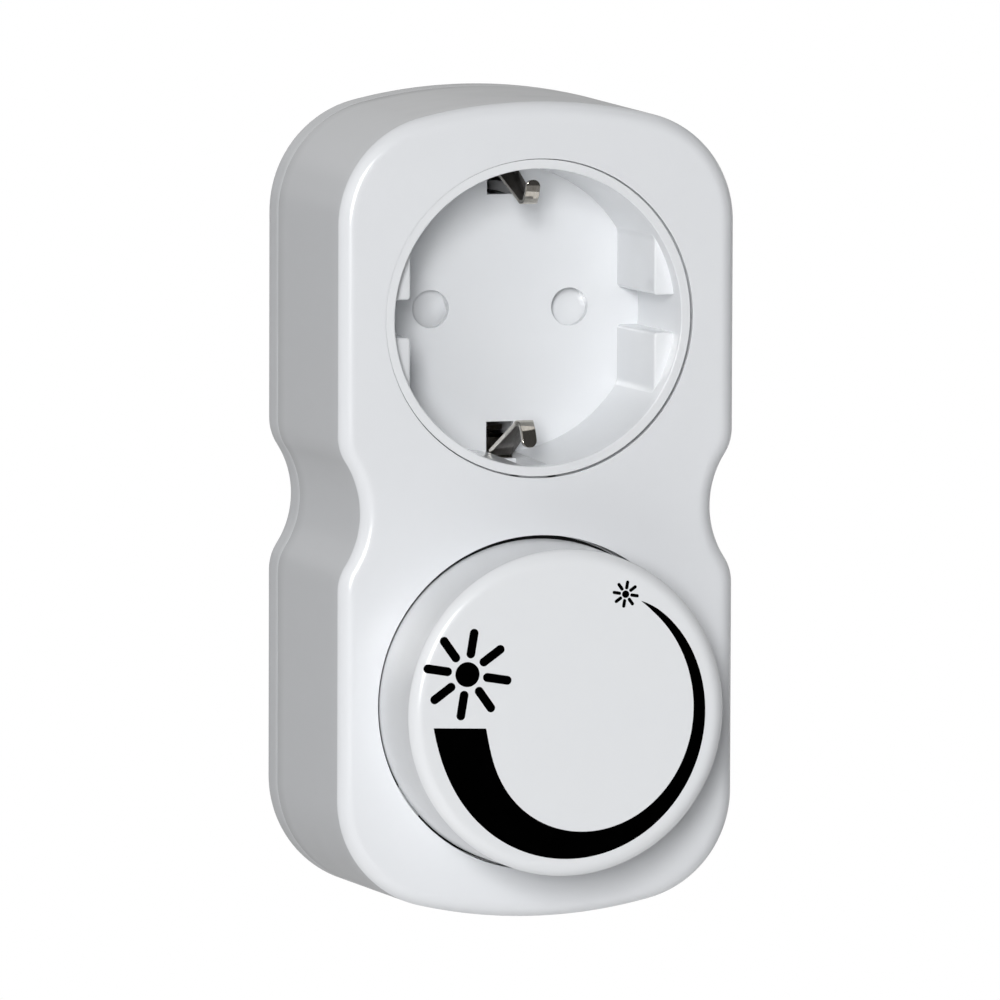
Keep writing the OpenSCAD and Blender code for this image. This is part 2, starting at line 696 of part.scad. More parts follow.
// Recessed socket cup with its rim, flange, drafted guide blocks, pin holes, clip channels and shutter post
cup_draft = 0.3;
mouth_edge = 0.25;
mouth_edge_d = 0.4;
ring_edge = 0.15;
clip_slot_d = 1.6;
channel_r = mouth_r + channel_d;
guide_x = mouth_r - guide_t;
guide_front = at(rim_d + guide_sunk);
guide_back = at(floor_d + floor_t / 2);
module socket_insert() color(white) difference() {
    union() {
        turned() polygon([
            [0, at(floor_d)], [mouth_r - cup_draft, at(floor_d)], [mouth_r, at(rim_d + mouth_edge_d)],
            [mouth_r + mouth_edge, at(rim_d)], [ring_r - ring_edge, at(rim_d)],
            [ring_r, at(rim_d + ring_edge)],
            [ring_r, at(wall)], [flange_r, at(wall)], [flange_r, at(flange_back_d)],
            [ring_r, at(flange_back_d)], [ring_r, at(floor_back_d)], [0, at(floor_back_d)]]);
        difference() {
            slab(guide_front, guide_back) difference() {
                circle(mouth_r + cup_wall / 2);
                square([3 * mouth_r, guide_slot], center = true);
            }
            linear_extrude(3 * mouth_r, center = true) polygon([
                [-guide_x - guide_draft, guide_front - bite], [guide_x + guide_draft, guide_front - bite],
                [guide_x, guide_back + bite], [-guide_x, guide_back + bite]]);
        }
        pair_z() block([-clip_slot_w / 2 - channel_wall, at(wall), mouth_r + cup_wall / 2],
            [clip_slot_w / 2 + channel_wall, at(floor_back_d), channel_r + channel_wall]);
        rod(post_r, at(floor_back_d - floor_t / 2), at(post_end_d));
    }
    for (sx = [-1, 1]) rod(pin_hole_r, at(floor_d - bite), at(floor_back_d + bite), sx * pin_x);
    pair_z() block([-clip_slot_w / 2, at(rim_d + clip_slot_d), mouth_r - clip_slot_h],
        [clip_slot_w / 2, at(floor_back_d + bite), channel_r]);
}

// Shutter disc with two openings, each reached down a ramp that a pin slides along
ramp_start = pin_hole_r + ramp_lead;
module shutter() color([0.93, 0.93, 0.93]) difference() {
    rod(shutter_r, at(shutter_front_d), at(shutter_back_d));
    rod(post_r + post_gap, at(shutter_front_d - bite), at(shutter_back_d + bite));
    for (turn = [0, 180]) rotate([0, turn, 0]) {
        rotate([0, -shutter_turn, 0])
            rod(shutter_hole_r, at(shutter_front_d - bite), at(shutter_back_d + bite), pin_x);
        translate([pin_x, at(shutter_front_d), 0]) rotate([0, -shutter_turn / 2, 0])
            strip_x(2 * pin_hole_r) polygon([[-bite, -ramp_start], [0, -ramp_start], [ramp_d, ramp_l],
                [-bite, ramp_l]]);
    }
}

// Return spring of the shutter: one coil around the post
module shutter_spring() color(steel) {
    steps = 16;
    coil = [for (i = [0 : spring_turns * steps]) let (a = 360 * i / steps)
        [spring_r * cos(a), at(spring_d) + spring_pitch * i / steps, spring_r * sin(a)]];
    sweep(coil, spring_wire_r, 6, [1, 0, 0]);
}

// Washer pushed on the end of the post
clip_washer_w = 1.86;
module shutter_clip() color(steel) tube_ring(post_r + clip_washer_w, post_r + press,
    at(clip_washer_d), at(clip_washer_d + clip_washer_t));

// Strip of thickness t along a path in Y and Z
function side_of(p, i) = let (t = heading(p, i)) [-t.y, t.x];
function ribbon(p, t) = concat(
    [for (i = [0 : len(p) - 1]) p[i] + side_of(p, i) * t / 2],
    [for (i = [len(p) - 1 : -1 : 0]) p[i] - side_of(p, i) * t / 2]);

// Earth clip: a leg from the floor slot to a bend, then a tongue turned back outwards. Headings are angles
// in the Y-Z plane, and the bend's centre lies to the right of the heading.
clip_root = mouth_r - clip_root_inset;
clip_root_d = floor_d + floor_t / 2;
clip_root_at = [at(clip_root_d), clip_root];
function clip_path(inset, sunk) = let (
    bend_at = [at(rim_d + sunk), mouth_r - inset + clip_bend_r],
    leg = bend_at - clip_root_at,
    leg_heading = 360 + atan2(leg.y, leg.x) + asin(clip_bend_r / norm(leg)),
    tongue_heading = 90 + clip_tongue_lean,
    bend = arc(bend_at.x, bend_at.y, clip_bend_r, leg_heading + 90, tongue_heading + 90, 6))
    concat([clip_root_at], bend, [bend[6] + clip_tongue * [cos(tongue_heading), sin(tongue_heading)]]);
module earth_clip(inset, sunk) color(nickel) {
    strip_x(clip_w) polygon(ribbon(clip_path(inset, sunk), clip_t));
    translate([-clip_w / 2, at(clip_root_d), clip_root]) rotate([0, 90, 0])
        cylinder(r = clip_bead_r, h = clip_w);
}
module earth_clip_upper() earth_clip(upper_clip_inset, upper_clip_sunk);
module earth_clip_lower() mirror([0, 0, 1]) earth_clip(lower_clip_inset, lower_clip_sunk);

// Earth strip: from behind the clip's root, stepped over to the plug's side where the two differ, and out
// along the plug. Its front end is narrowed to the clip's slot.
strip_step = 2;
strip_front_y = at(clip_root_d) + clip_bead_r + touch;
strip_plug_z = earth_z + earth_t / 2;
strip_path = [[strip_front_y, clip_root], [strip_front_y + strip_step, clip_root],
    [strip_front_y + 2 * strip_step, strip_plug_z], [-earth_short, strip_plug_z]];
module earth_strip() color(nickel) difference() {
    strip_x(earth_w) polygon(ribbon(strip_path, earth_t));
    pair_x() block([clip_slot_w / 2 - slide, at(floor_d), clip_root - earth_t],
        [earth_w, at(floor_back_d + run), clip_root + earth_t]);
}
module earth_strip_upper() earth_strip();
module earth_strip_lower() mirror([0, 0, 1]) earth_strip();

// Half hoop that joins the two earth strips
hoop_r = earth_z - touch;
hoop_off = 1;
hoop_back_y = rear_y - wall - hoop_off;
module earth_link() color(nickel) difference() {
    tube_ring(hoop_r, hoop_r - earth_t, hoop_back_y - hoop_w, hoop_back_y);
    block([earth_w / 2, hoop_back_y - hoop_w - bite, -hoop_r - bite],
        [hoop_r + bite, hoop_back_y + bite, hoop_r + bite]);
}

// Sprung sleeve that grips a pin from outside, split along one side
module sleeve(x) difference() {
    tube_ring(sleeve_r, sleeve_in_r, at(sleeve_front_d), sleeve_back_y, x);
    block([x - sleeve_slit / 2, at(sleeve_front_d) - bite, 0],
        [x + sleeve_slit / 2, sleeve_back_y - sleeve_base, pocket_r]);
}
module contact_live() color(brass) sleeve(pin_x);
module contact_neutral() color(brass) {
    sleeve(-pin_x);
    rod(sleeve_r, sleeve_back_y - bite, shoulder_y - touch, -pin_x);
}

// Plug pin with a rounded end, a collar in the end face and a shoulder inside the plug
module plug_pin(x) color(nickel) turned(x) polygon(concat(
    [[0, shoulder_y], [pin_shoulder_r, shoulder_y], [pin_shoulder_r, hollow_floor_y],
        [pin_r + pin_collar, hollow_floor_y], [pin_r + pin_collar, 0], [pin_r, 0]],
    [for (a = [0 : 15 : 90]) [pin_r * cos(a), pin_l - pin_r + pin_r * sin(a)]]));
module plug_pin_live() plug_pin(pin_x);
module plug_pin_neutral() plug_pin(-pin_x);

// Knob: rounded cap with a hub for the shaft and ribs between hub and skirt
module shaft_shape(r, flat) difference() {
    circle(r);
    translate([-2 * r, flat]) square(4 * r);
}
module knob() color([0.93, 0.94, 0.95]) union() {
    face_r = knob_r - knob_taper;
    inner_d = knob_face_d + knob_wall;
    turned(z = knob_z) polygon(concat(
        [[0, at(knob_face_d)]],
        [for (a = [0 : 15 : 90]) [face_r - knob_edge_r * (1 - sin(a)),
            at(knob_face_d + knob_edge_r * (1 - cos(a)))]],
        [[knob_r, at(knob_sunk)], [knob_r - knob_wall, at(knob_sunk)],
            [face_r - knob_wall, at(inner_d)], [0, at(inner_d)]]));
    translate([0, 0, knob_z]) {
        slab(at(inner_d - bite), at(hub_back_d)) difference() {
            circle(hub_r);
            shaft_shape(shaft_r + press, shaft_flat + press);
        }
        for (i = [0 : knob_ribs - 1]) rotate([0, 360 / knob_ribs * (i + 0.5), 0])
            block([hub_r - bite, at(inner_d - bite), -rib_t / 2],
                [knob_r - knob_wall, at(-rib_short), rib_t / 2]);
    }
}

// Potentiometer can with its bush, and the stop that ends the turn. The stop and the rotor's lug share the
// angle that the turn leaves, less a small angle of play at each end.
lug_a = 30;
play_a = 1;
stop_a = 360 - knob_turn - lug_a - 2 * play_a;
lug_end_a = -90 - stop_a / 2 - play_a;
module sector(r_in, r_out, a0, a1) {
    polygon(concat(arc(0, 0, r_out, a0, a1, 8), arc(0, 0, r_in, a1, a0, 8)));
}
module pot_body() color(steel) translate([0, 0, knob_z]) {
    difference() {
        union() {
            rod(pot_r, at(well_back_d), at(board_front_d));
            rod(bush_r, at(bush_front_d), at(well_back_d + bite));
        }
        rod(shaft_r + shaft_gap, at(bush_front_d - bite), at(rotor_d));
        rod(can_in_r, at(rotor_d - rotor_gap), at(wafer_front_d - rotor_gap));
        rod(wafer_r + touch, at(wafer_front_d - bite), at(board_front_d + bite));
    }
    slab(at(rotor_d - bite), at(rotor_d + rotor_t))
        sector(rotor_r + run, can_in_r + run, -90 - stop_a / 2, -90 + stop_a / 2);
}

// Phenolic wafer with the carbon track and three terminals that stand on the board
terminal_pitch = 3;
terminal_w = 1;
terminal_drop = 1;
module pot_track() color([0.45, 0.30, 0.18]) translate([0, 0, knob_z]) {
    rod(wafer_r, at(wafer_front_d), at(wafer_back_d));
    for (i = [-1 : 1])
        block([i * terminal_pitch - terminal_w / 2, at(wafer_back_d - bite), -terminal_drop - terminal_w],
            [i * terminal_pitch + terminal_w / 2, at(board_front_d) - touch, -terminal_drop]);
}

// Shaft with its flat, the rotor and the lug that meets the stop
module pot_shaft() color(steel) translate([0, 0, knob_z]) {
    slab(at(shaft_tip_d), at(hub_back_d)) shaft_shape(shaft_r, shaft_flat);
    rod(shaft_r, at(hub_back_d), at(rotor_d + rotor_t));
    rod(rotor_r, at(rotor_d), at(rotor_d + rotor_t));
    slab(at(rotor_d), at(rotor_d + rotor_t))
        sector(rotor_r - bite, can_in_r - rotor_gap, lug_end_a - lug_a, lug_end_a);
}

// Washer and hexagon nut that hold the potentiometer in the well's floor
washer_over = 0.4;
module pot_washer() color(steel) tube_ring(bush_r + nut_wall + washer_over, bush_r + touch,
    at(well_d - washer_t), at(well_d), z = knob_z);
module pot_nut() color(brass) difference() {
    translate([0, 0, knob_z]) slab(at(well_d - washer_t - nut_t), at(well_d - washer_t))
        circle(r = (bush_r + nut_wall) / cos(30), $fn = 6);
    rod(bush_r + touch, at(well_d - washer_t - nut_t - bite), at(well_d), z = knob_z);
}

// Circuit board on its posts
module circuit_board() color([0.12, 0.36, 0.20]) difference() {
    block([-board_half_w, at(board_front_d), board_bottom_z], [board_half_w, at(board_back_d), board_top_z]);
    for (p = board_places)
        rod(board_screw_r + screw_clear, at(board_front_d - bite), at(board_back_d + bite), p.x, p.y);
}
module board_screws() color(steel) for (p = board_places) {
    rod(board_screw_r, at(board_front_d - board_screw_l), at(board_back_d + bite), p.x, p.y);
    rod(board_screw_r + board_head_w, at(board_back_d), at(board_back_d + board_head_t), p.x, p.y);
}

// Triac screwed to its heat sink: the case stands on its legs and the tab lies on the sink
sink_z = knob_z - sink_drop;
sink_h = leg_l + case_l + tab_l;
tab_hole_in = 2;
triac_screw_d = board_back_d + sink_h - tab_hole_in;
triac_hole_r = triac_screw_r + slide;
case_z = sink_z - tab_t;
leg_t = 0.6;
leg_off = 1;
module triac() color(black) difference() {
    union() {
        block([-triac_w / 2, at(board_back_d + leg_l), case_z - triac_t],
            [triac_w / 2, at(board_back_d + leg_l + case_l), case_z]);
        block([-triac_w / 2, at(board_back_d + leg_l), case_z],
            [triac_w / 2, at(board_back_d + sink_h), sink_z]);
        for (i = [-1 : 1])
            block([i * leg_pitch - leg_w / 2, at(board_back_d), case_z - leg_off - leg_t],
                [i * leg_pitch + leg_w / 2, at(board_back_d + leg_l + bite), case_z - leg_off]);
    }
    translate([0, at(triac_screw_d), case_z - bite]) cylinder(r = triac_hole_r, h = tab_t + 2 * bite);
}
module triac_screw() color(steel) translate([0, at(triac_screw_d), case_z - triac_head_t]) {
    cylinder(r = triac_screw_r, h = tab_t + sink_t + 2 * triac_head_t);
    cylinder(r = triac_head_r, h = triac_head_t);
    translate([0, 0, triac_head_t + tab_t + sink_t]) cylinder(r = triac_head_r, h = triac_head_t, $fn = 6);
}
module heat_sink() color(aluminium) difference() {
    union() {
        block([-sink_half_w, at(board_back_d), sink_z],
            [sink_half_w, at(board_back_d + sink_h), sink_z + sink_t]);
        for (sx = [-1, 1]) block([sx * sink_half_w - sink_t / 2, at(board_back_d), sink_z - sink_side],
            [sx * sink_half_w + sink_t / 2, at(board_back_d + sink_h), sink_z + sink_t]);
    }
    translate([0, at(triac_screw_d), sink_z - bite]) cylinder(r = triac_hole_r, h = sink_t + 2 * bite);
}

// Choke: a ring core lying on the board, with one layer of wire wound through it
choke_x = -choke_side;
choke_z = knob_z + choke_rise;
wound_a = 330;
// Distance of the wire's centre from the core, which keeps it clear of the core's corners
wire_off = wire_r + wire_gap;
core_front_d = board_back_d + wire_off + wire_r + touch;
module choke_core() color([0.25, 0.26, 0.28])
    tube_ring(core_r, core_in_r, at(core_front_d), at(core_front_d + core_t), choke_x, choke_z);
module choke_winding() color([0.72, 0.38, 0.18]) {
    // Corners of one turn round the core's section, as radius and depth from the core's front
    turn = [[core_r + wire_off, 0], [core_r + wire_off, core_t],
        [core_r, core_t + wire_off], [core_in_r, core_t + wire_off],
        [core_in_r - wire_off, core_t], [core_in_r - wire_off, 0],
        [core_in_r, -wire_off], [core_r, -wire_off]];
    per_turn = len(turn);
    route = [for (i = [0 : turns * per_turn - 3])
        let (c = turn[i % per_turn], a = wound_a * i / (turns * per_turn))
        [choke_x + c[0] * cos(a), at(core_front_d + c[1]), choke_z + c[0] * sin(a)]];
    sweep(route, wire_r, 6, [0, 0, 1]);
}

// Box capacitors, side by side below the fuse
film_x = 0.6;
film_drop = 1.6;
timing_x = 5.5;
module film_capacitor() color([0.75, 0.60, 0.15])
    block([film_x, at(board_back_d), knob_z - film_drop],
        [film_x + film_l, at(board_back_d + film_h), knob_z - film_drop + film_t]);
timing_top_z = knob_z - film_drop - 2 * run;
module timing_capacitor() color([0.70, 0.16, 0.12])
    block([timing_x, at(board_back_d), timing_top_z - timing_t],
        [timing_x + timing_l, at(board_back_d + timing_h), timing_top_z]);

// Small parts on the front of the board, each lying on it with its two wires bent down
module axial_part(z, l, r) {
    level = at(board_front_d) - r - touch;
    wire_x = l / 2 + axial_wire_l;
    translate([-l / 2, level, z]) rotate([0, 90, 0]) cylinder(r = r, h = l);
    for (sx = [-1, 1]) {
        translate([0, level, z]) rotate([0, sx * 90, 0]) cylinder(r = axial_wire_r, h = wire_x);
        block([sx * wire_x - axial_wire_r, level, z - axial_wire_r],
            [sx * wire_x + axial_wire_r, at(board_front_d), z + axial_wire_r]);
    }
}
small_part_in = 2.5;
module diac() color([0.2, 0.3, 0.6]) axial_part(board_bottom_z + small_part_in + diac_r, diac_l, diac_r);
module resistors() color([0.80, 0.70, 0.52])
    for (i = [0, 1]) axial_part(board_top_z - small_part_in - i * resistor_pitch, resistor_l, resistor_r);

// Glass fuse in its two clips
fuse_z = knob_z + fuse_rise;
fuse_d = board_back_d + fuse_r + fuse_lift;
fuse_glass_r = fuse_r - fuse_cap_t;
fuse_end_t = 0.4;
fuse_clip_lip = 1.2;
cap_x = (fuse_l - fuse_cap_l) / 2;
module along_x(r, l, x = 0) translate([fuse_side + x - l / 2, at(fuse_d), fuse_z]) rotate([0, 90, 0])
    cylinder(r = r, h = l);
module fuse_tube() color([0.8, 0.88, 0.9, 0.5]) along_x(fuse_glass_r, fuse_l - 2 * fuse_end_t);
module fuse_caps() color(nickel) for (sx = [-1, 1]) difference() {
    along_x(fuse_r, fuse_cap_l, sx * cap_x);
    along_x(fuse_glass_r + press, fuse_l - 2 * fuse_end_t + touch);
}
module fuse_clips() color(brass) for (sx = [-1, 1]) difference() {
    x = fuse_side + sx * cap_x;
    block([x - fuse_clip_w / 2, at(board_back_d), fuse_z - fuse_r - fuse_clip_t],
        [x + fuse_clip_w / 2, at(fuse_d + fuse_clip_lip), fuse_z + fuse_r + fuse_clip_t]);
    along_x(fuse_r + press, 2 * fuse_l);
}

// Insulated leads inside the body. The points at the plug are from the live pin's shoulder, and those at the
// board from the board's rear face under the knob axis.
live_at_plug = [[0, -0.8, 0], [0, -0.9, -3], [0, -1.3, -5.8], [-0.4, -2.9, -7.2], [-1.1, -5.9, -7.9],
    [-1.7, -9.4, -8.4], [-1.7, -12.4, -9.8], [-0.7, -15.4, -13.6]];
live_at_board = [[10.2, 7.9, 31.2], [10.8, 5.7, 26.2], [11, 4, 21.8], [11, 3, 18.8], [11, 1.9, 16.6],
    [11, 1, 16], [11, 0.1, 15.9]];
switched_at_plug = [[0, -6.8, -3.05], [-0.1, -6.9, -5], [-0.5, -8.1, -5.9], [-1.5, -10.5, -6.6],
    [-2.9, -12.9, -8.4], [-4.1, -14.8, -11.4], [-4.7, -16.4, -15.4]];
switched_at_board = [[4.7, 7, 29.8], [4.8, 5, 24.8], [5, 3.3, 20], [5, 2, 17], [5, 1, 16], [5, 0.1, 15.9]];
module lead(at_plug, at_board) sweep(concat(
    [for (p = at_plug) [pin_x + p.x, shoulder_y + p.y, p.z]],
    [for (p = at_board) [p.x, at(board_back_d + p.y), knob_z + p.z]]), lead_r, 8, [1, 0, 0]);
module lead_live() color([0.35, 0.2, 0.12]) lead(live_at_plug, live_at_board);
module lead_switched() color(black) lead(switched_at_plug, switched_at_board);

// Four screws that close the body from the rear
screw_end_room = 1;
screw_slot_l = 3.5;
screw_slot_d = 1;
module housing_screws() color(steel) for (p = screw_places) {
    head_y = screw_seat_y + screw_head_t;
    rod(screw_r, parting_y - screw_l + screw_end_room, screw_seat_y + bite, p.x, p.y);
    difference() {
        rod(screw_head_r, screw_seat_y, head_y, p.x, p.y);
        for (turn = [0, 90]) translate([p.x, head_y, p.y]) rotate([0, turn, 0])
            cube([screw_slot_l, 2 * screw_slot_d, screw_slot_w], center = true);
    }
}

front_housing();
rear_cover();
socket_insert();
shutter();
shutter_spring();
shutter_clip();
earth_clip_upper();
earth_clip_lower();
earth_strip_upper();
earth_strip_lower();
earth_link();
contact_live();
contact_neutral();
plug_pin_live();
plug_pin_neutral();
knob();
pot_body();
pot_track();
pot_shaft();
pot_washer();
pot_nut();
circuit_board();
board_screws();
triac();
triac_screw();
heat_sink();
choke_core();
choke_winding();
film_capacitor();
timing_capacitor();
diac();
resistors();
fuse_tube();
fuse_caps();
fuse_clips();
lead_live();
lead_switched();
housing_screws();
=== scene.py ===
# %% [markdown]
# # A plug-in dimmer
# The object is a white moulded adaptor that plugs into a wall socket: an earthed two-pin socket sits above a
# large rotary knob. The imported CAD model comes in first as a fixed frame, with its pieces, joints and sizes.
# Each surface that can be seen is then drawn again as a smooth mesh in the same coordinates, so nothing has
# to be fitted afterwards. X is to the right, Y runs into the wall and Z is up. Lengths are written in
# millimetres and become metres only when a mesh is made. A depth is measured from the body's front face.

# %% Load the frame
import json
import math

import bmesh
import bpy
import numpy as np
from mathutils import Matrix


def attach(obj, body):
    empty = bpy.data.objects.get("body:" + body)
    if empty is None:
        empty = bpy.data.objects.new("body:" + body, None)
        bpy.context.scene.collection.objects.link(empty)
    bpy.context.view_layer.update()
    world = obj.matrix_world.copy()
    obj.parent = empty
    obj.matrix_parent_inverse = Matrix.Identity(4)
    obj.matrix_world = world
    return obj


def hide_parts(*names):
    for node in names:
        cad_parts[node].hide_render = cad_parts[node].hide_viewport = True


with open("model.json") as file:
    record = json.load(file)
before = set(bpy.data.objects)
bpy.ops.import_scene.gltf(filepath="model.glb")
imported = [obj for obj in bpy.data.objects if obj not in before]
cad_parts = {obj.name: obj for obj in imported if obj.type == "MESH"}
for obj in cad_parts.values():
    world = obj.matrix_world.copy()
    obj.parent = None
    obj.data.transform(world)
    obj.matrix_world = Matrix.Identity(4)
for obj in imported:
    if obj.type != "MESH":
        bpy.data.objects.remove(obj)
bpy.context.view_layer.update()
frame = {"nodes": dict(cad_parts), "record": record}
MM = 0.001

# %% [markdown]
# ## Camera
# The photograph was taken from a little to the left and a little above, with a long lens, so parallel edges
# stay almost parallel. A camera could be aimed with a Track To constraint, but its own three axes, written
# as a matrix, also hold the small roll of the picture.

# %% Camera
FRONT_Y = -49.9                      # the body's front face
CAMERA_YAW, CAMERA_PITCH, CAMERA_ROLL = np.radians([-16.583, 5.247, 0.185])
CAMERA_AIM = np.array([-5.196, FRONT_Y, -23.626])
CAMERA_FAR = 1740
SENSOR = 36
FIELD = 129.98                       # width of the picture at the aim
VIEW_END = 20                        # metres

camera_back = np.array([math.sin(CAMERA_YAW) * math.cos(CAMERA_PITCH),
                        -math.cos(CAMERA_YAW) * math.cos(CAMERA_PITCH), math.sin(CAMERA_PITCH)])
level = np.array([math.cos(CAMERA_YAW), math.sin(CAMERA_YAW), 0])
rise = np.cross(camera_back, level)
camera_right = level * math.cos(CAMERA_ROLL) + rise * math.sin(CAMERA_ROLL)
camera_up = rise * math.cos(CAMERA_ROLL) - level * math.sin(CAMERA_ROLL)
eye = CAMERA_AIM + camera_back * CAMERA_FAR


def add_object(name, data):
    """A new object for a mesh, lamp or camera, linked into the scene."""
    thing = bpy.data.objects.new(name, data)
    bpy.context.scene.collection.objects.link(thing)
    return thing


def stand(thing, right, up, back, place):
    """Put a camera or lamp at a place in metres: its matrix has its three axes and the place as columns."""
    placed = np.eye(4)
    placed[:3] = np.stack([right, up, back, place], 1)
    thing.matrix_world = Matrix(placed.tolist())


camera = add_object("camera", bpy.data.cameras.new("camera"))
camera.data.sensor_width = SENSOR
camera.data.lens = SENSOR * CAMERA_FAR / FIELD
camera.data.clip_end = VIEW_END
stand(camera, camera_right, camera_up, camera_back, eye * MM)
bpy.context.scene.camera = camera
bpy.context.scene.view_settings.view_transform = "Standard"
print("camera:", np.round(eye), "mm, lens", round(camera.data.lens), "mm")

# %% [markdown]
# ## From numbers to meshes
# Almost everything here is a profile carried along a path, so one function turns a grid of points into quads
# and another joins such sheets into a closed mesh. Flat faces with holes, such as the front of the body, are
# bounded by loops at one depth: they are filled with triangles, because a grid doesn't fit round two
# circles. The first row of each flat face is a narrow band, which keeps its shading flat right up to a
# rounded edge.

# %% From sheets to a piece
MERGE = 0.002                        # points closer than this are one point
SHARP = math.radians(32)             # an edge that turns by more than this stays sharp


def sheet(points, around=True, keep=None):
    """Quads between neighbours in a grid of points: each cell joins (i, j), (i, j+1), (i+1, j+1), (i+1, j).
    around joins the last column to the first, and keep says which cells are there."""
    rows, columns = points.shape[:2]
    index = np.arange(rows * columns).reshape(rows, columns)
    if around:
        index = np.hstack([index, index[:, :1]])
    quads = np.stack([index[:-1, :-1], index[:-1, 1:], index[1:, 1:], index[1:, :-1]], -1)
    return points.reshape(-1, 3), quads.reshape(-1, 4) if keep is None else quads[keep]


def build_piece(name, sheets, body, material, stands_for=(), levels=()):
    """One mesh of all the sheets, merged where they meet, with the loops at each depth in levels filled."""
    starts = np.cumsum([0] + [len(points) for points, _ in sheets])
    points = np.concatenate([points for points, _ in sheets]) * MM
    faces = np.concatenate([quads + start for (_, quads), start in zip(sheets, starts)])
    mesh = bpy.data.meshes.new(name)
    mesh.from_pydata(points, [], faces.tolist())
    net = bmesh.new()
    net.from_mesh(mesh)
    bmesh.ops.remove_doubles(net, verts=net.verts, dist=MERGE * MM)
    for depth in levels:
        y = (FRONT_Y + depth) * MM
        rim = [e for e in net.edges if e.is_boundary and all(abs(v.co.y - y) < MERGE * MM for v in e.verts)]
        bmesh.ops.triangle_fill(net, edges=rim, use_beauty=True)
    bmesh.ops.recalc_face_normals(net, faces=net.faces)
    open_edges = sum(e.is_boundary for e in net.edges)
    net.to_mesh(mesh)
    net.free()
    mesh.shade_smooth()
    mesh.set_sharp_from_angle(angle=SHARP)
    mesh.materials.append(material)
    piece = add_object(name, mesh)
    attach(piece, body)
    if stands_for:
        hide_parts(*stands_for)
    print(name, len(mesh.polygons), "faces,", open_edges, "open edges")
    return piece


print("points closer than", MERGE, "mm are merged")

# %% Loops and turned shapes
def spokes(angles):
    """Unit vectors in the plane: (cos a, sin a) for each angle."""
    return np.stack([np.cos(angles), np.sin(angles)], -1)


def full_turn(steps):
    """So many angles, evenly round a circle."""
    return np.linspace(0, 2 * math.pi, steps, endpoint=False)


def at_depth(flat, depth):
    """Flat points (x, z), one row for each depth or one row for all, as (x, front face + depth, z)."""
    depth = np.asarray(depth)
    flat = np.broadcast_to(flat, (len(depth), *np.shape(flat)[-2:]))
    y = np.broadcast_to(FRONT_Y + depth[:, None], flat.shape[:2])
    return np.stack([flat[..., 0], y, flat[..., 1]], -1)


def turned(profile, x=0, z=0, steps=96):
    """A profile of (radius, depth) turned about Y: (x + r cos t, depth, z + r sin t)."""
    r, depth = np.transpose(profile)
    return at_depth([x, z] + r[:, None, None] * spokes(full_turn(steps)), depth)


def rod(radius, start, end):
    """Profile of a plain rod between two depths, closed at both ends."""
    return [[0, start], [radius, start], [radius, end], [0, end]]


def tube(inner, outer, start, end):
    """Profile of a plain tube: a rectangle from one radius to the other and between two depths."""
    return [[inner, start], [outer, start], [outer, end], [inner, end], [inner, start]]


print("a rod turned in 8 steps has", turned(rod(1, 0, 2), steps=8).shape[:2], "rows and columns")

# %% Rounded edges
BAND = 0.3                           # width of the flat band beside a rounded edge


def fillet(radius, steps):
    """A quarter circle as two columns: radius * (1 - cos a) and radius * (1 - sin a), for a from 0 to 90."""
    a = np.linspace(0, math.pi / 2, steps + 1)
    return radius * (1 - np.cos(a)), radius * (1 - np.sin(a))


def soft_edge(width, tight, turn, steps):
    """An edge like fillet's, so wide, of two arcs: one that turns from the face through most of the corner,
    and a tight one for the rest. The wide radius is (width - tight * (1 - sin turn)) / sin turn."""
    wide = (width - tight * (1 - math.sin(turn))) / math.sin(turn)
    a, b = np.linspace(0, turn, steps), np.linspace(turn, math.pi / 2, 6)[1:]
    down = np.r_[wide * (1 - np.cos(a)), wide * (1 - math.cos(turn)) + tight * (math.cos(turn) - np.cos(b))]
    return down, np.r_[width - wide * np.sin(a), tight * (1 - np.sin(b))]


print("a fillet of 1 mm drops by", np.round(fillet(1, 3)[0], 2), "mm")

# %% [markdown]
# ## Finishes
# The body is a moulded white plastic such as ABS. Its colour is almost even, so what the eye reads is a soft
# sheen, a faint cloudiness from the flow of the melt and the very fine grain that the mould leaves. The
# metal parts are plated or drawn, so their roughness varies along fine lines. Photographs of such surfaces
# could be wrapped round the pieces, but noise textures on Object coordinates need no unwrapping, stay sharp
# at any distance and take their scale from a real size in millimetres.

# %% Colour and node helpers
NOISE_LOW, NOISE_HIGH = 0.3, 0.7     # most values of a noise texture lie between these


def linear(code):
    """An sRGB hex colour as linear RGBA: c / 12.92 below 0.04045, otherwise ((c + 0.055) / 1.055) ^ 2.4."""
    c = np.array([int(code[i:i + 2], 16) for i in (1, 3, 5)]) / 255
    return (*np.where(c <= 0.04045, c / 12.92, ((c + 0.055) / 1.055) ** 2.4).tolist(), 1)


WHITE = linear("#FFFFFF")


def add_node(tree, kind, inputs, **settings):
    """One node: settings are its own properties, and an input takes a value or another node's output."""
    node = tree.nodes.new(kind)
    for name, value in settings.items():
        setattr(node, name, value)
    for name, value in inputs.items():
        if isinstance(value, bpy.types.NodeSocket):
            tree.links.new(value, node.inputs[name])
        else:
            node.inputs[name].default_value = value
    return node


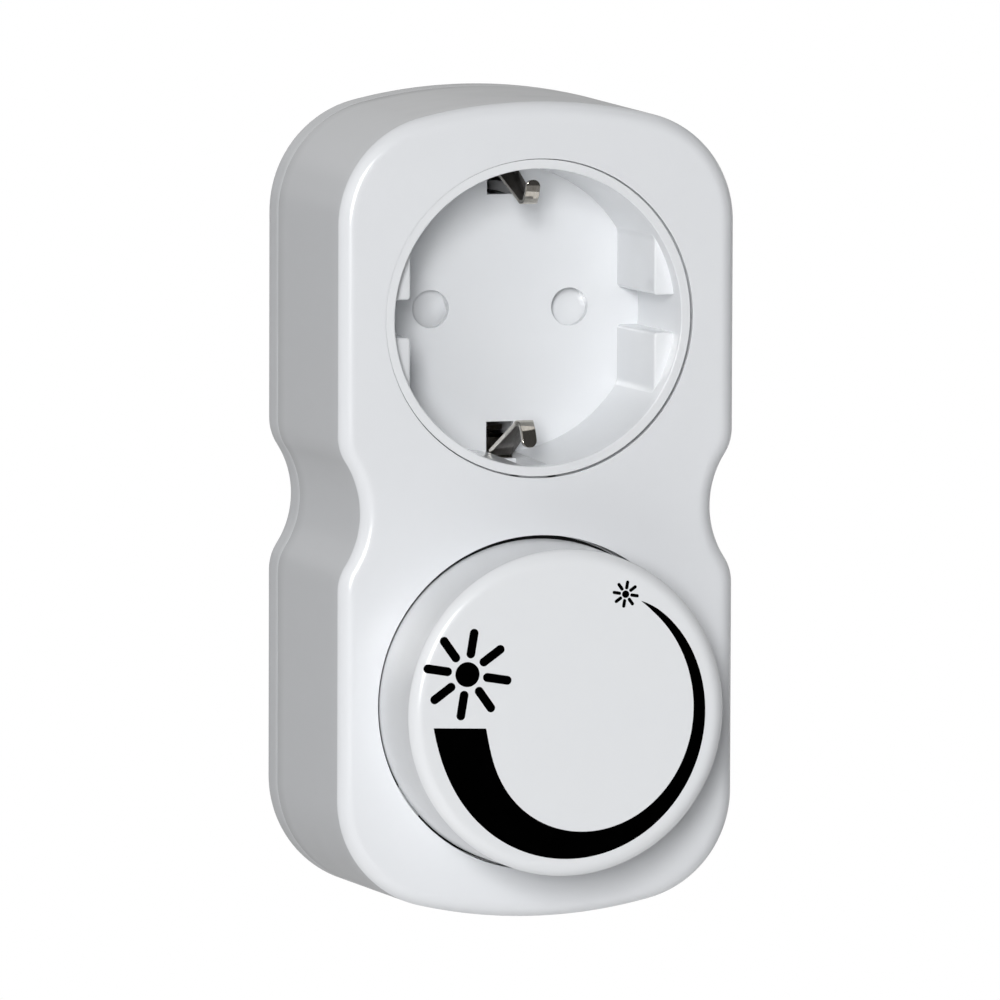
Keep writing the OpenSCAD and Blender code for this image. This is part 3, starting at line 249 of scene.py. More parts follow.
def finish(name, light, dark, size, roughness, grain, lift, stretch=(1, 1, 1), **fixed):
    """A material whose colour drifts from light to dark over patches of size mm, whose roughness runs
    between two values over the same patches, and whose grain of so many mm stands lift mm high."""
    material = bpy.data.materials.new(name)
    material.use_nodes = True
    tree = material.node_tree
    shader = tree.nodes["Principled BSDF"]
    place = add_node(tree, "ShaderNodeTexCoord", {})
    drawn = add_node(tree, "ShaderNodeMapping", {"Vector": place.outputs["Object"], "Scale": stretch})
    patch = add_node(tree, "ShaderNodeTexNoise", {"Vector": drawn.outputs[0], "Scale": 1 / (size * MM),
                                                  "Detail": 3})
    colour = add_node(tree, "ShaderNodeMix", {"Factor": patch.outputs["Fac"], 6: linear(light),
                                              7: linear(dark)}, data_type="RGBA")
    gloss = add_node(tree, "ShaderNodeMapRange", {"Value": patch.outputs["Fac"], "From Min": NOISE_LOW,
                                                  "From Max": NOISE_HIGH, "To Min": roughness[0],
                                                  "To Max": roughness[1]})
    speck = add_node(tree, "ShaderNodeTexNoise", {"Vector": drawn.outputs[0], "Scale": 1 / (grain * MM),
                                                  "Detail": 2})
    bump = add_node(tree, "ShaderNodeBump", {"Height": speck.outputs["Fac"], "Strength": 1,
                                             "Distance": lift * MM})
    tree.links.new(colour.outputs[2], shader.inputs["Base Color"])
    tree.links.new(gloss.outputs[0], shader.inputs["Roughness"])
    tree.links.new(bump.outputs[0], shader.inputs["Normal"])
    for key, value in fixed.items():
        shader.inputs[key.replace("_", " ")].default_value = value
    return material


print("#808080 is", round(linear("#808080")[0], 3), "in linear light")

# %% Plastics of the outside
# Moulded ABS: a soft, slightly blue white with a satin sheen that widens the highlights along the edges.
housing_abs = finish("moulded_white_abs", "#E6E8EB", "#E2E4E7", 14, (0.19, 0.25), 0.35, 0.0006, IOR=1.53)
# The cup is a heat-resistant plastic from another mould, a touch glossier than the body.
cup_plastic = finish("moulded_white_polycarbonate", "#E8EAEC", "#E4E6E9", 9, (0.14, 0.2), 0.35, 0.0006,
                     IOR=1.58)
# The knob has a finer surface, so its face looks even.
knob_abs = finish("fine_white_abs", "#E8EAEC", "#E5E7EA", 16, (0.2, 0.26), 0.3, 0.0005, IOR=1.53)
# Pad-printing ink dries to a thin, even film, so black and dull that no sheen shows.
print_ink = finish("black_printing_ink", "#000000", "#020202", 2, (0.5, 0.6), 0.2, 0.0006, IOR=1.5,
                   Specular_IOR_Level=0)
# Painted shade in the gap round the knob: a near-black, dull ring like pressed felt, so the gap reads as a
# line.
black_painted_gap_shade = finish("black_painted_gap_shade", "#19191A", "#0E0E0F", 0.8, (0.85, 0.95), 0.25, 0.05)
print(len(bpy.data.materials), "materials for the outside")

# %% Metals
# Bright nickel on spring bronze: a warm grey mirror with the faint lines of the rolled strip along it.
nickel = finish("bright_nickel_plate", "#D2CEC6", "#A39D94", 0.9, (0.05, 0.12), 0.12, 0.0003,
                stretch=(3, 0.4, 1), Metallic=1)
# The same strip with a painted dark reflection: darker and a little blurred, for the dark slot the leg
# mirrors.
nickel_painted_dark_reflection = finish("nickel_plate_with_painted_dark_reflection", "#6A635B", "#3A3530", 0.9, (0.12, 0.22), 0.12, 0.0003,
                     stretch=(3, 0.4, 1), Metallic=1)
# Stamped brass, a little tarnished.
brass = finish("stamped_brass", "#D9B46A", "#B98F45", 2, (0.22, 0.4), 0.2, 0.001, Metallic=1)
# Zinc-plated steel: blue-grey and slightly cloudy.
zinc_steel = finish("zinc_plated_steel", "#BFC3C8", "#A5A9AF", 1, (0.24, 0.4), 0.15, 0.001, Metallic=1)
# Aluminium sheet with the lines of the rolling mill.
aluminium = finish("rolled_aluminium", "#D2D4D6", "#BDC0C3", 1.5, (0.28, 0.42), 0.15, 0.001,
                   stretch=(1, 1, 0.15), Metallic=1)
# Enamelled copper wire: copper seen through a clear lacquer, so bright and reddish.
copper = finish("enamelled_copper", "#C9743E", "#A9562B", 1, (0.2, 0.3), 0.2, 0.001, Metallic=1,
                Coat_Weight=0.6)
print(len(bpy.data.materials), "materials with the metals")

# %% Inner plastics and ceramics
# Sintered ferrite: a dark, dull ceramic with a fine speckle.
ferrite = finish("sintered_ferrite", "#45464A", "#343538", 0.8, (0.55, 0.75), 0.25, 0.004)
# Solder resist over glass-fibre board: glossy green with the weave faintly showing.
solder_resist = finish("green_solder_resist", "#1F6A3C", "#175231", 1.5, (0.2, 0.32), 0.6, 0.004, IOR=1.5)
# Moulded epoxy of the triac: black, with a fine matt grain.
black_epoxy = finish("black_moulding_epoxy", "#1C1C1D", "#141415", 1, (0.5, 0.65), 0.15, 0.003)
# Case of the film capacitor: yellow, moulded smooth and filled with resin.
yellow_case = finish("yellow_capacitor_case", "#DDB12F", "#CBA026", 3, (0.35, 0.45), 0.3, 0.002)
# Dipped lacquer of the timing capacitor: red, glossy and a little wavy.
red_dip = finish("red_dipped_lacquer", "#A8321F", "#8F2818", 2, (0.15, 0.3), 1.2, 0.02)
# Coated glass of the diac: blue and glossy.
blue_coat = finish("blue_glass_coating", "#2C3F86", "#233268", 1, (0.12, 0.22), 0.5, 0.004)
# Lacquer of the resistors: tan, with a soft gloss.
tan_lacquer = finish("tan_resistor_lacquer", "#C8A06A", "#B48C58", 1, (0.25, 0.4), 0.6, 0.01)
# Paper laminate of the potentiometer's wafer: brown and dull.
phenolic = finish("brown_phenolic_laminate", "#7A4A26", "#63391B", 1.2, (0.4, 0.55), 0.3, 0.004)
# Clear glass of the fuse, a little uneven from drawing.
fuse_glass = finish("drawn_clear_glass", "#F4FAFA", "#EAF4F4", 2, (0.02, 0.06), 1.5, 0.002, IOR=1.5,
                    Transmission_Weight=1)
# PVC sleeves of the two leads: smooth, with a dull sheen.
brown_pvc = finish("brown_pvc_sleeve", "#5A3018", "#4C2712", 2, (0.35, 0.5), 0.5, 0.003)
black_pvc = finish("black_pvc_sleeve", "#202021", "#171718", 2, (0.35, 0.5), 0.5, 0.003)
print(len(bpy.data.materials), "materials in all")

# %% [markdown]
# ## The outline of the body
# Seen from the front, the body is bowed at the top and bottom, has four round corners and is drawn in at the
# waist. It could be traced with a curve object, but arcs give true tangents: each quarter is four arcs, kept
# as a centre, a radius and a direction per point. Pushing the outline out or in only changes the radius, by
# plus or minus the offset, so every wall, edge and groove follows from the same points.

# %% Outline
HALF_W, HALF_H, MID_Z = 26.75, 53.225, -25.125
END_R, CORNER_R = 66.5, 14.4
WAIST_DEPTH, WAIST_R, WAIST_BLEND_R = 3, 12.5, 6
DRAFT = math.tan(math.radians(0.9))

corner_x = HALF_W - CORNER_R
end_z = HALF_H - END_R
corner_z = end_z + math.sqrt((END_R - CORNER_R) ** 2 - corner_x ** 2)
corner_a = math.atan2(corner_z - end_z, corner_x)
waist_a = math.acos(1 - WAIST_DEPTH / (WAIST_R + WAIST_BLEND_R))
blend_z = (WAIST_R + WAIST_BLEND_R) * math.sin(waist_a)


def arc_points(x, z, radius, side, start, end, count):
    """One arc as rows of centre x, centre z, radius, side (+1 bulges out, -1 in) and direction."""
    fixed = np.broadcast_to([x, z, radius, side], (count, 4))
    return np.c_[fixed, spokes(np.linspace(start, end, count))]


quarter = np.concatenate([
    arc_points(0, end_z, END_R, 1, math.pi / 2, corner_a, 24),
    arc_points(corner_x, corner_z, CORNER_R, 1, corner_a, 0, 28)[1:],
    arc_points(HALF_W - WAIST_BLEND_R, blend_z, WAIST_BLEND_R, 1, 0, -waist_a, 10),
    arc_points(HALF_W - WAIST_DEPTH + WAIST_R, 0, WAIST_R, -1, math.pi - waist_a, math.pi, 14)[1:]])
upside_down, left_right = np.array([1, -1, 1, 1, 1, -1]), np.array([-1, 1, 1, 1, -1, 1])
right_half = np.concatenate([quarter, (quarter * upside_down)[-2::-1]])
whole = np.concatenate([right_half, (right_half * left_right)[-2:0:-1]])


def body_outline(offset):
    """The outline for each offset: centre + (radius + side * offset) * direction, moved to the body's middle
    height."""
    reach = whole[:, 2] + whole[:, 3] * offset[:, None]
    return whole[:, :2] + reach[..., None] * whole[:, 4:] + [0, MID_Z]


def flare(depth):
    """How far the drafted side stands out at a depth: tan(draft) * depth."""
    return DRAFT * np.asarray(depth)


print("outline of", len(whole), "points, corner centre", round(corner_x, 2), round(corner_z, 2))

# %% [markdown]
# ## Front shell
# The front shell is one moulding: a face whose soft edge ends in a tighter corner, sides that widen a little
# towards the rear so that it leaves its mould, a round opening for the socket and a well for the knob. A box
# with a Bevel modifier would lose the waist, so a profile of depth and offset is carried round the outline.
# The edge at the parting line is rounded too: with the rear shell it makes the fine groove that catches the
# light. Posts behind the face take the screws of the rear shell and of the circuit board.

# %% Front shell: edge and sides
EDGE_W, EDGE_TIGHT, EDGE_TURN = 2, 0.4, math.radians(62)
PART_EDGE, WALL = 0.055, 2.4
BODY_D, COVER_D = 33.4, 4.8

shell_d = BODY_D - COVER_D
down, inward = soft_edge(EDGE_W, EDGE_TIGHT, EDGE_TURN, 14)
tuck, tip = fillet(PART_EDGE, 4)
side_d = np.linspace(down[-1], shell_d - PART_EDGE, 9)[1:]
shell_depth = np.r_[0, down, side_d, shell_d - tip[1:], shell_d, WALL]
shell_push = np.r_[-EDGE_W - BAND, flare(down) - inward, flare(side_d), flare(shell_d) - tuck[1:],
                   flare(shell_d) - WALL, flare(WALL) - WALL]
shell_sheets = [sheet(at_depth(body_outline(shell_push), shell_depth))]
print("shell profile of", len(shell_depth), "points, parting line at depth", round(shell_d, 2), "mm")

# %% Front shell: openings and posts
RING_HOLE_R, RING_HOLE_X, RING_HOLE_Z = 20.83, 0.15, -0.08
RING_LIP, RING_SLOPE, RING_RELIEF_R = 0.25, 0.3, 21.6  # a thin lip, then a slope to a wider space behind it
KNOB_Z, KNOB_HOLE_R, KNOB_HOLE_X = -50.25, 21.9, 0.28
WELL_D, WELL_BACK_D, WELL_OUT_R, BUSH_HOLE_R = 4.2, 6.2, 23.4, 5.1
FINE_EDGE = 0.03
SCREW_X, SCREW_UP, POST_R, SCREW_HOLE_R, SCREW_HOLE_D = 17.54, 45.63, 3, 1.45, 16.6
BOARD_X, BOARD_Z, BOARD_D = 17.85, (-33.13, -63.56), 15
BOARD_POST_R, BOARD_HOLE_R, BOARD_HOLE_D = 2.6, 1.25, 9
POST_SINK = 0.5                      # how far a post reaches into the wall


def opening(radius, edge, below):
    """Profile of a round opening in a flat face: a flat band, a rounded edge and what lies below."""
    sink, out = fillet(edge, 4)
    return np.concatenate([np.c_[np.r_[radius + edge + BAND, radius + out], np.r_[0, sink]], below])


def post(radius, hole, start, end, hole_start):
    """Profile of a closed post with a blind hole from its end."""
    return [[0, hole_start], [hole, hole_start], [hole, end], [radius, end], [radius, start], [0, start]]


socket_hole = opening(RING_HOLE_R, FINE_EDGE, [
    [RING_HOLE_R, RING_LIP], [RING_RELIEF_R, RING_LIP + RING_SLOPE], [RING_RELIEF_R, WALL]])
knob_well = opening(KNOB_HOLE_R, FINE_EDGE, [
    [KNOB_HOLE_R, WELL_D], [BUSH_HOLE_R, WELL_D], [BUSH_HOLE_R, WELL_BACK_D], [WELL_OUT_R, WELL_BACK_D],
    [WELL_OUT_R, WALL]])
screw_post = post(POST_R, SCREW_HOLE_R, WALL - POST_SINK, shell_d, SCREW_HOLE_D)
board_post = post(BOARD_POST_R, BOARD_HOLE_R, WALL - POST_SINK, BOARD_D, BOARD_HOLE_D)
screw_places = [(sx * SCREW_X, MID_Z + sz * SCREW_UP) for sx in (-1, 1) for sz in (-1, 1)]
board_places = [(sx * BOARD_X, z) for sx in (-1, 1) for z in BOARD_Z]
shell_sheets += [sheet(turned(socket_hole, RING_HOLE_X, RING_HOLE_Z, steps=160)),
                 sheet(turned(knob_well, KNOB_HOLE_X, KNOB_Z, steps=160))]
shell_sheets += [sheet(turned(screw_post, x, z, steps=40)) for x, z in screw_places]
shell_sheets += [sheet(turned(board_post, x, z, steps=32)) for x, z in board_places]
build_piece("front_shell", shell_sheets, "body", housing_abs, ["front_housing"],
            levels=[0, WALL])

# %% [markdown]
# ## Rear shell and plug
# The rear shell closes the body and carries the plug that goes into the wall. Its rim is the same outline,
# with a lip that locates it in the front shell. The plug is a round shank with flat sides, a rib on each
# flat and a recess above and below for the earth strips. It could be cut from a cylinder with Boolean
# modifiers, but a list of corners, each eased by a parabola, has soft edges at once, and the rounded end
# only limits the distance from the axis. Inside stand bosses for the screws, pockets for the pins and
# pillars that hold the cup.

# %% Rear shell: rim and lip
REAR_EDGE_R = 0.9
LIP_D, LIP_T, LIP_GAP = 1.5, 1.2, 0.15
LIP_REST = 0.05                      # what is left of the lip where a screw post stands

floor_d = BODY_D - WALL
lip_push = float(flare(shell_d)) - WALL - LIP_GAP
round_a = np.linspace(0, math.pi / 2, 9)
rim_d = np.linspace(shell_d + PART_EDGE, BODY_D - REAR_EDGE_R, 4)[1:-1]
rear_d = BODY_D - REAR_EDGE_R * (1 - np.sin(round_a))
rear_push = flare(rear_d) - REAR_EDGE_R * (1 - np.cos(round_a))
cover_depth = np.r_[floor_d, shell_d - LIP_D, shell_d - LIP_D, shell_d, shell_d, shell_d + tuck[1:],
                    rim_d, rear_d, BODY_D]
cover_push = np.r_[lip_push - LIP_T, lip_push - LIP_T, lip_push, lip_push, flare(shell_d) - PART_EDGE,
                   flare(shell_d) - tip[1:], flare(rim_d), rear_push, flare(BODY_D) - REAR_EDGE_R - BAND]
cover = at_depth(body_outline(cover_push), cover_depth)
post_gap = np.min([np.hypot(cover[2, :, 0] - x, cover[2, :, 2] - z) for x, z in screw_places], 0)
at_post = post_gap < POST_R + LIP_T
cover[1:3, at_post, 1] = FRONT_Y + shell_d - LIP_REST
print("the lip gives way at", at_post.sum(), "of", len(whole), "points")

# %% Rear shell: plug
PLUG_D, PLUG_R, PLUG_FLAT, PLUG_END_R = 16.5, 18.4, 15.8, 1.1
END_SHRINK = 0.25                    # share of the end's rounding that the flats and ribs take part in
RIB_HALF, RIB_REACH, EARTH_HALF, EARTH_FLOOR = 2.2, 17.9, 3.75, 16.8
RIB_EASE, RIB_FOOT_EASE, SHANK_EASE, NOTCH_EASE = 0.45, 0.4, 0.9, 0.3


def eased(corners, cut, steps=5):
    """Corners of a loop, each replaced by a parabola between the points cut back along its two sides."""
    before = corners - np.roll(corners, 1, 0)
    after = np.roll(corners, -1, 0) - corners
    start = corners - before / np.linalg.norm(before, axis=1, keepdims=True) * cut[:, None]
    end = corners + after / np.linalg.norm(after, axis=1, keepdims=True) * cut[:, None]
    u = np.linspace(0, 1, steps)[:, None]
    curve = (1 - u) ** 2 * start[:, None] + 2 * u * (1 - u) * corners[:, None] + u ** 2 * end[:, None]
    return np.where(cut[:, None, None] > 0, curve, corners[:, None]).reshape(-1, 2)


shank_a = np.linspace(math.acos(PLUG_FLAT / PLUG_R), math.acos(EARTH_HALF / PLUG_R), 18)
plug_quarter = np.concatenate([[[RIB_REACH, RIB_HALF], [PLUG_FLAT, RIB_HALF]], PLUG_R * spokes(shank_a),
                               [[EARTH_HALF, EARTH_FLOOR]]])
plug_cut = np.r_[RIB_EASE, RIB_FOOT_EASE, SHANK_EASE, np.zeros(len(shank_a) - 2), NOTCH_EASE, NOTCH_EASE]
plug_upper = np.concatenate([plug_quarter, plug_quarter[::-1] * [-1, 1]])
plug_loop = eased(np.concatenate([plug_upper, -plug_upper]), np.tile(np.r_[plug_cut, plug_cut[::-1]], 2))


def plug_section(depth, limit, shrink):
    """The plug's loop at each depth: pulled in by shrink, and nowhere further from the axis than limit."""
    reach = np.linalg.norm(plug_loop, axis=1)
    scale = np.minimum(1 - shrink[:, None] / reach, limit[:, None] / reach)
    return at_depth(plug_loop * scale[..., None], depth)


end_d = BODY_D + PLUG_D
end_round = PLUG_END_R * (1 - np.cos(round_a))
plug_depth = np.r_[BODY_D, BODY_D + PLUG_D / 2, end_d - PLUG_END_R * (1 - np.sin(round_a)), end_d]
plug_limit = np.r_[PLUG_R, PLUG_R, PLUG_R - end_round, PLUG_R - PLUG_END_R - BAND]
plug_shrink = np.r_[0, 0, end_round * END_SHRINK, PLUG_END_R * END_SHRINK + BAND]
cover_sheets = [sheet(cover), sheet(plug_section(plug_depth, plug_limit, plug_shrink))]
print("plug outline of", len(plug_loop), "points, end face at depth", round(end_d, 2), "mm")

# %% Rear shell: hollow, holes and posts
HOLLOW_R, HOLLOW_FLAT, END_T = 14.9, 13.9, 2.5
STRIP_SLOT_HALF, STRIP_SLOT_LOW, STRIP_SLOT_HIGH = 2.9, 16.87, 17.7
SEAT_R, SEAT_D, SEAT_EDGE = 2.9, 2.3, 0.22
BOSS_R, BOSS_HOLE_R, BOSS_SINK = 3.6, 1.6, 0.3
PIN_X, PIN_COLLAR_R = 9.5, 2.6
POCKET_IN_R, POCKET_OUT_R, POCKET_D, POCKET_SINK = 3.05, 4.25, 29.4, 0.1
PILLAR_X, PILLAR_Z, PILLAR_R, PILLAR_D, PILLAR_SINK = 16.53, 15.41, 1.8, 4.05, 0.5

end_back_d = end_d - END_T
hollow_loop = np.clip(HOLLOW_R * spokes(full_turn(96)), [-HOLLOW_FLAT, -HOLLOW_R], [HOLLOW_FLAT, HOLLOW_R])
strip_slot = np.array([[STRIP_SLOT_HALF, STRIP_SLOT_LOW], [-STRIP_SLOT_HALF, STRIP_SLOT_LOW],
                       [-STRIP_SLOT_HALF, STRIP_SLOT_HIGH], [STRIP_SLOT_HALF, STRIP_SLOT_HIGH]])
seat = opening(SEAT_R, SEAT_EDGE, [[SEAT_R, SEAT_D], [0, SEAT_D]]) * [1, -1] + [0, BODY_D]
boss = post(BOSS_R, BOSS_HOLE_R, floor_d + BOSS_SINK, shell_d, floor_d)
pin_hole = [[PIN_COLLAR_R, end_d], [PIN_COLLAR_R, end_back_d]]
pocket = tube(POCKET_IN_R, POCKET_OUT_R, POCKET_D, end_back_d + POCKET_SINK)
pillar = rod(PILLAR_R, PILLAR_D, floor_d + PILLAR_SINK)
cover_sheets.append(sheet(at_depth(hollow_loop, (floor_d, end_back_d))))
cover_sheets += [sheet(at_depth(strip_slot * [1, side], (BODY_D, floor_d))) for side in (1, -1)]
cover_sheets += [sheet(turned(seat, x, z, steps=48)) for x, z in screw_places]
cover_sheets += [sheet(turned(boss, x, z, steps=40)) for x, z in screw_places]
cover_sheets += [sheet(turned(p, sx * PIN_X, 0, steps=48)) for p in (pin_hole, pocket) for sx in (-1, 1)]
cover_sheets += [sheet(turned(pillar, sx * PILLAR_X, sz * PILLAR_Z, steps=32))
                 for sx in (-1, 1) for sz in (-1, 1)]
build_piece("rear_shell", cover_sheets, "body", housing_abs, ["rear_cover"],
            levels=[floor_d, BODY_D, end_back_d, end_d])

# %% [markdown]
# ## Socket cup
# The cup is pushed into the front shell from behind, and its ring lies just below the face, with a fine gap
# all round. Inside are two pairs of guide blocks, two pin holes in the floor, and a slot above and below for
# the sprung earth clips. The slots could be cut with a Boolean modifier, which often leaves ragged shading.
# Here the wall is one profile turned about the axis; the cells where the slots are get left out, and small
# sheets close the slots' sides.

# %% Socket cup: wall
RIM_D, CUP_FLOOR_D, CUP_BACK_D = 0.1, 17.7, 18.9
RING_R, RING_EDGE, RIM_BAND = 20.65, 0.04, 0.1
MOUTH_R, CUP_DRAFT, MOUTH_EDGE, MOUTH_EDGE_D = 19.42, 0.45, 0.16, 0.2
SLOT_HALF, SLOT_D = 1.85, 1.8
WALL_ROWS = (4, 8, 13)               # depths of the rows of points between the slots' ends and the floor

slot_a = math.asin(SLOT_HALF / MOUTH_R)
half_turn = np.linspace(-math.pi / 2 + slot_a, math.pi / 2 - slot_a, 81)
across = np.linspace(math.pi / 2 - slot_a, math.pi / 2 + slot_a, 7)[1:-1]
cup_t = np.r_[half_turn, across, half_turn + math.pi, across + math.pi]
wall_d = np.array([SLOT_D, *WALL_ROWS, CUP_FLOOR_D, CUP_BACK_D])


def cup_radius(depth):
    """Inside radius of the cup: it narrows evenly by the draft, from the rounded mouth to the floor."""
    return MOUTH_R - CUP_DRAFT * (depth - RIM_D - MOUTH_EDGE_D) / (CUP_FLOOR_D - RIM_D - MOUTH_EDGE_D)


wall_r = cup_radius(wall_d)
edge_down, edge_out = fillet(1, 6)
cup_profile = np.concatenate([
    np.c_[wall_r, wall_d], np.c_[np.full(len(wall_d), RING_R), wall_d[::-1]],
    np.c_[RING_R - RING_EDGE * edge_down, RIM_D + RING_EDGE * edge_out],
    [[RING_R - RING_EDGE - RIM_BAND, RIM_D], [MOUTH_R + MOUTH_EDGE + RIM_BAND, RIM_D]],
    np.c_[MOUTH_R + MOUTH_EDGE * edge_out, RIM_D + MOUTH_EDGE_D * edge_down],
    [[wall_r[0], SLOT_D]]])
cup_wall = at_depth(cup_profile[:, :1, None] * spokes(cup_t), cup_profile[:, 1])
print("cup wall of", cup_wall.shape[:2], "rows and columns")

# %% Socket cup: slots for the clips
last_row = 2 * len(wall_d) - 1       # the rows up to this one go down inside the wall and up outside
below_slot = np.arange(len(cup_profile) - 1)[:, None] < last_row
cell_t = cup_t + np.diff(np.r_[cup_t, cup_t[0] + 2 * math.pi]) / 2
in_slot = np.abs(np.cos(cell_t)) < math.sin(slot_a)
cup_sheets = [sheet(cup_wall, keep=~(below_slot & in_slot))]

first_gap = len(half_turn) + len(across)
slot_edges = np.array([0, len(half_turn) - 1, first_gap, first_gap + len(half_turn) - 1])
for column in slot_edges:
    inside, outside = cup_wall[:len(wall_d), column], cup_wall[len(wall_d):last_row + 1, column][::-1]
    cup_sheets.append(sheet(np.stack([inside, outside], 1), around=False))
for first, last in ((slot_edges[1], slot_edges[2]), (slot_edges[3], slot_edges[0])):
    columns = np.r_[first:last + 1] if first < last else np.r_[first:len(cup_t), last]
    cup_sheets.append(sheet(cup_wall[[0, last_row]][:, columns], around=False))
print("slots", round(2 * SLOT_HALF, 2), "mm wide, left out of", in_slot.sum(), "columns")

# %% Socket cup: flange and floor
FLANGE_R, FLANGE_START, FLANGE_END, FLANGE_SINK = 23.25, 2.4, 4, 0.3
CUP_FLOOR_R, SLOT_IN, PIN_HOLE_R = 19.75, 14.95, 2.5


def flange(turn):
    """Half of the flange behind the front shell: a rectangle swept round, closed at both ends."""
    r, depth = np.transpose(tube(RING_R - FLANGE_SINK, FLANGE_R, FLANGE_START, FLANGE_END))
    ring = at_depth(r[:, None, None] * spokes(half_turn + turn), depth)
    ends = [sheet(ring[[[0, 1], [3, 2]], column], around=False) for column in (0, -1)]
    return [sheet(ring, around=False), *ends]


floor_arc = CUP_FLOOR_R * spokes(half_turn)
floor_arc[[0, -1], 0] = SLOT_HALF
notch = np.array([[SLOT_HALF, SLOT_IN], [-SLOT_HALF, SLOT_IN]])
floor_loop = np.concatenate([floor_arc, notch, -floor_arc, -notch])
floor_hole = opening(PIN_HOLE_R, FINE_EDGE, [[PIN_HOLE_R, CUP_BACK_D - CUP_FLOOR_D]]) + [0, CUP_FLOOR_D]
cup_sheets += flange(0) + flange(math.pi)
cup_sheets.append(sheet(at_depth(floor_loop, (CUP_FLOOR_D, CUP_BACK_D))))
cup_sheets += [sheet(turned(floor_hole, sx * PIN_X, 0, steps=64)) for sx in (-1, 1)]
print("floor loop of", len(floor_loop), "points")

# %% Socket cup: guide blocks
GUIDE_X, GUIDE_Z, GUIDE_D, GUIDE_MID_D, GUIDE_FOOT_D = 16.05, 2.45, 2.8, 11, 18
GUIDE_EDGE, GUIDE_BAND, GUIDE_CORNER, GUIDE_DRAFT, GUIDE_BLEND = 0.3, 0.25, 0.5, 0.5, 2.5
WALL_MID_R, WALL_SINK = 19.8, 0.03   # where a block's back lies in the wall, and how far its arc goes in


def guide_block(sx, sz):
    """A guide block as one loop: a slot side, a flat that leans back by the draft, and an arc that touches
    both the flat and the cup's wall. The loop is drawn in towards its rounded front edge."""
    drop, pull = fillet(GUIDE_EDGE, 5)
    depth = np.r_[GUIDE_FOOT_D, GUIDE_MID_D, GUIDE_D + drop[::-1], GUIDE_D]
    push = np.r_[0, 0, pull[::-1], GUIDE_EDGE + GUIDE_BAND][:, None]
    soft = GUIDE_CORNER * (1 - push)
    lean = GUIDE_DRAFT * np.clip((CUP_FLOOR_D - depth) / (CUP_FLOOR_D - GUIDE_D), 0, 1)[:, None]
    corner_at = np.stack([GUIDE_X + lean + push, GUIDE_Z + push], -1)
    corner = corner_at + soft[..., None] * (1 + spokes(np.linspace(1.5 * math.pi, math.pi, 6)))
    centre_r = cup_radius(depth)[:, None] + WALL_SINK - GUIDE_BLEND
    centre_a = np.arccos((GUIDE_X + lean - GUIDE_BLEND) / centre_r)
    blend_a = centre_a * np.linspace(0, 1, 8)
    blend = centre_r[..., None] * spokes(centre_a) + (GUIDE_BLEND + push)[..., None] * spokes(blend_a)
    low_a = np.arcsin((GUIDE_Z + push) / WALL_MID_R)
    behind = WALL_MID_R * spokes(centre_a + (low_a - centre_a) * np.linspace(0, 1, 12))
    return at_depth(np.concatenate([corner, blend, behind], 1) * [sx, sz], depth)


cup_sheets += [sheet(guide_block(sx, sz)) for sx in (-1, 1) for sz in (-1, 1)]
print("guide blocks", round(2 * GUIDE_Z, 2), "mm apart")

# %% Socket cup: channels and shutter post
CHANNEL_R, CHANNEL_WALL, CHANNEL_SINK = 20.4, 1.2, 0.3
SHUTTER_POST_R, SHUTTER_POST_D = 2, (18.3, 25.3)  # the shutter turns on this post behind the floor


def channel(side):
    """The trough behind a clip's slot: a U of straight walls, drawn from the flange to the cup's back."""
    out_x, out_z, foot = SLOT_HALF + CHANNEL_WALL, CHANNEL_R + CHANNEL_WALL, MOUTH_R + CHANNEL_SINK
    right = np.array([[out_x, out_z], [out_x, foot], [SLOT_HALF, foot], [SLOT_HALF, CHANNEL_R]])
    flat = np.concatenate([right, right[::-1] * [-1, 1]])
    return at_depth(flat * [1, side], (FLANGE_START, CUP_BACK_D))


cup_sheets += [sheet(channel(side)) for side in (-1, 1)]
cup_sheets.append(sheet(turned(rod(SHUTTER_POST_R, *SHUTTER_POST_D), steps=48)))
build_piece("socket_cup", cup_sheets, "body", cup_plastic, ["socket_insert"],
            levels=[GUIDE_D, FLANGE_START, CUP_FLOOR_D, GUIDE_FOOT_D, CUP_BACK_D])

# %% [markdown]
# ## Sprung earth clips
# Each earth clip is a strip of spring metal: a leg, widest at its rolled root, rises from the floor, bends
# over and ends in a tongue with a round tip. A curve with a bevel would give a round wire, so a section with
# rounded corners is carried along a path of a straight line and two arcs. The faces of the leg get a darker
# nickel, a painted dark reflection; its edges, the bend and the tongue keep the bright nickel.

# %% Ribbons
def ribbon(path, half_width, thick, edge, side=1):
    """A strip along a path of (depth, z): each section is a rectangle with rounded corners, half_width to
    each side in X and thick across the path, and the strip is closed at both ends."""
    step = np.gradient(path, axis=0)
    along = step / np.linalg.norm(step, axis=1, keepdims=True)
    across_path = np.c_[-along[:, 1], along[:, 0]]
    a = np.radians(np.arange(4)[:, None] * 90 + np.linspace(0, 90, 5)).ravel()
    corner = np.repeat(np.array([[1, 1], [-1, 1], [-1, -1], [1, -1]]), 5, 0)
    x = corner[:, 0] * (half_width[:, None] - edge) + edge * np.cos(a)
    lift = corner[:, 1] * (thick / 2 - edge) + edge * np.sin(a)
    flat = path[:, None] + across_path[:, None] * lift[:, None]
    grid = np.stack([x, FRONT_Y + flat[..., 0], flat[..., 1]], -1)
    poles = np.repeat(grid[[0, -1]].mean(1, keepdims=True), grid.shape[1], 1)
    return np.concatenate([poles[:1], grid, poles[1:]]) * [1, 1, side]


def rounded_tip(length_left, half_width, radius):
    """Half width near a tip: full, then half_width - radius + sqrt(radius^2 - (radius - what is left)^2)."""
    inside = np.clip(radius - length_left, 0, radius)
    return half_width - radius + np.sqrt(radius ** 2 - inside ** 2)


print("half width 1 mm before a tip of 2 mm radius:", round(float(rounded_tip(1, 2, 2)), 2), "mm")

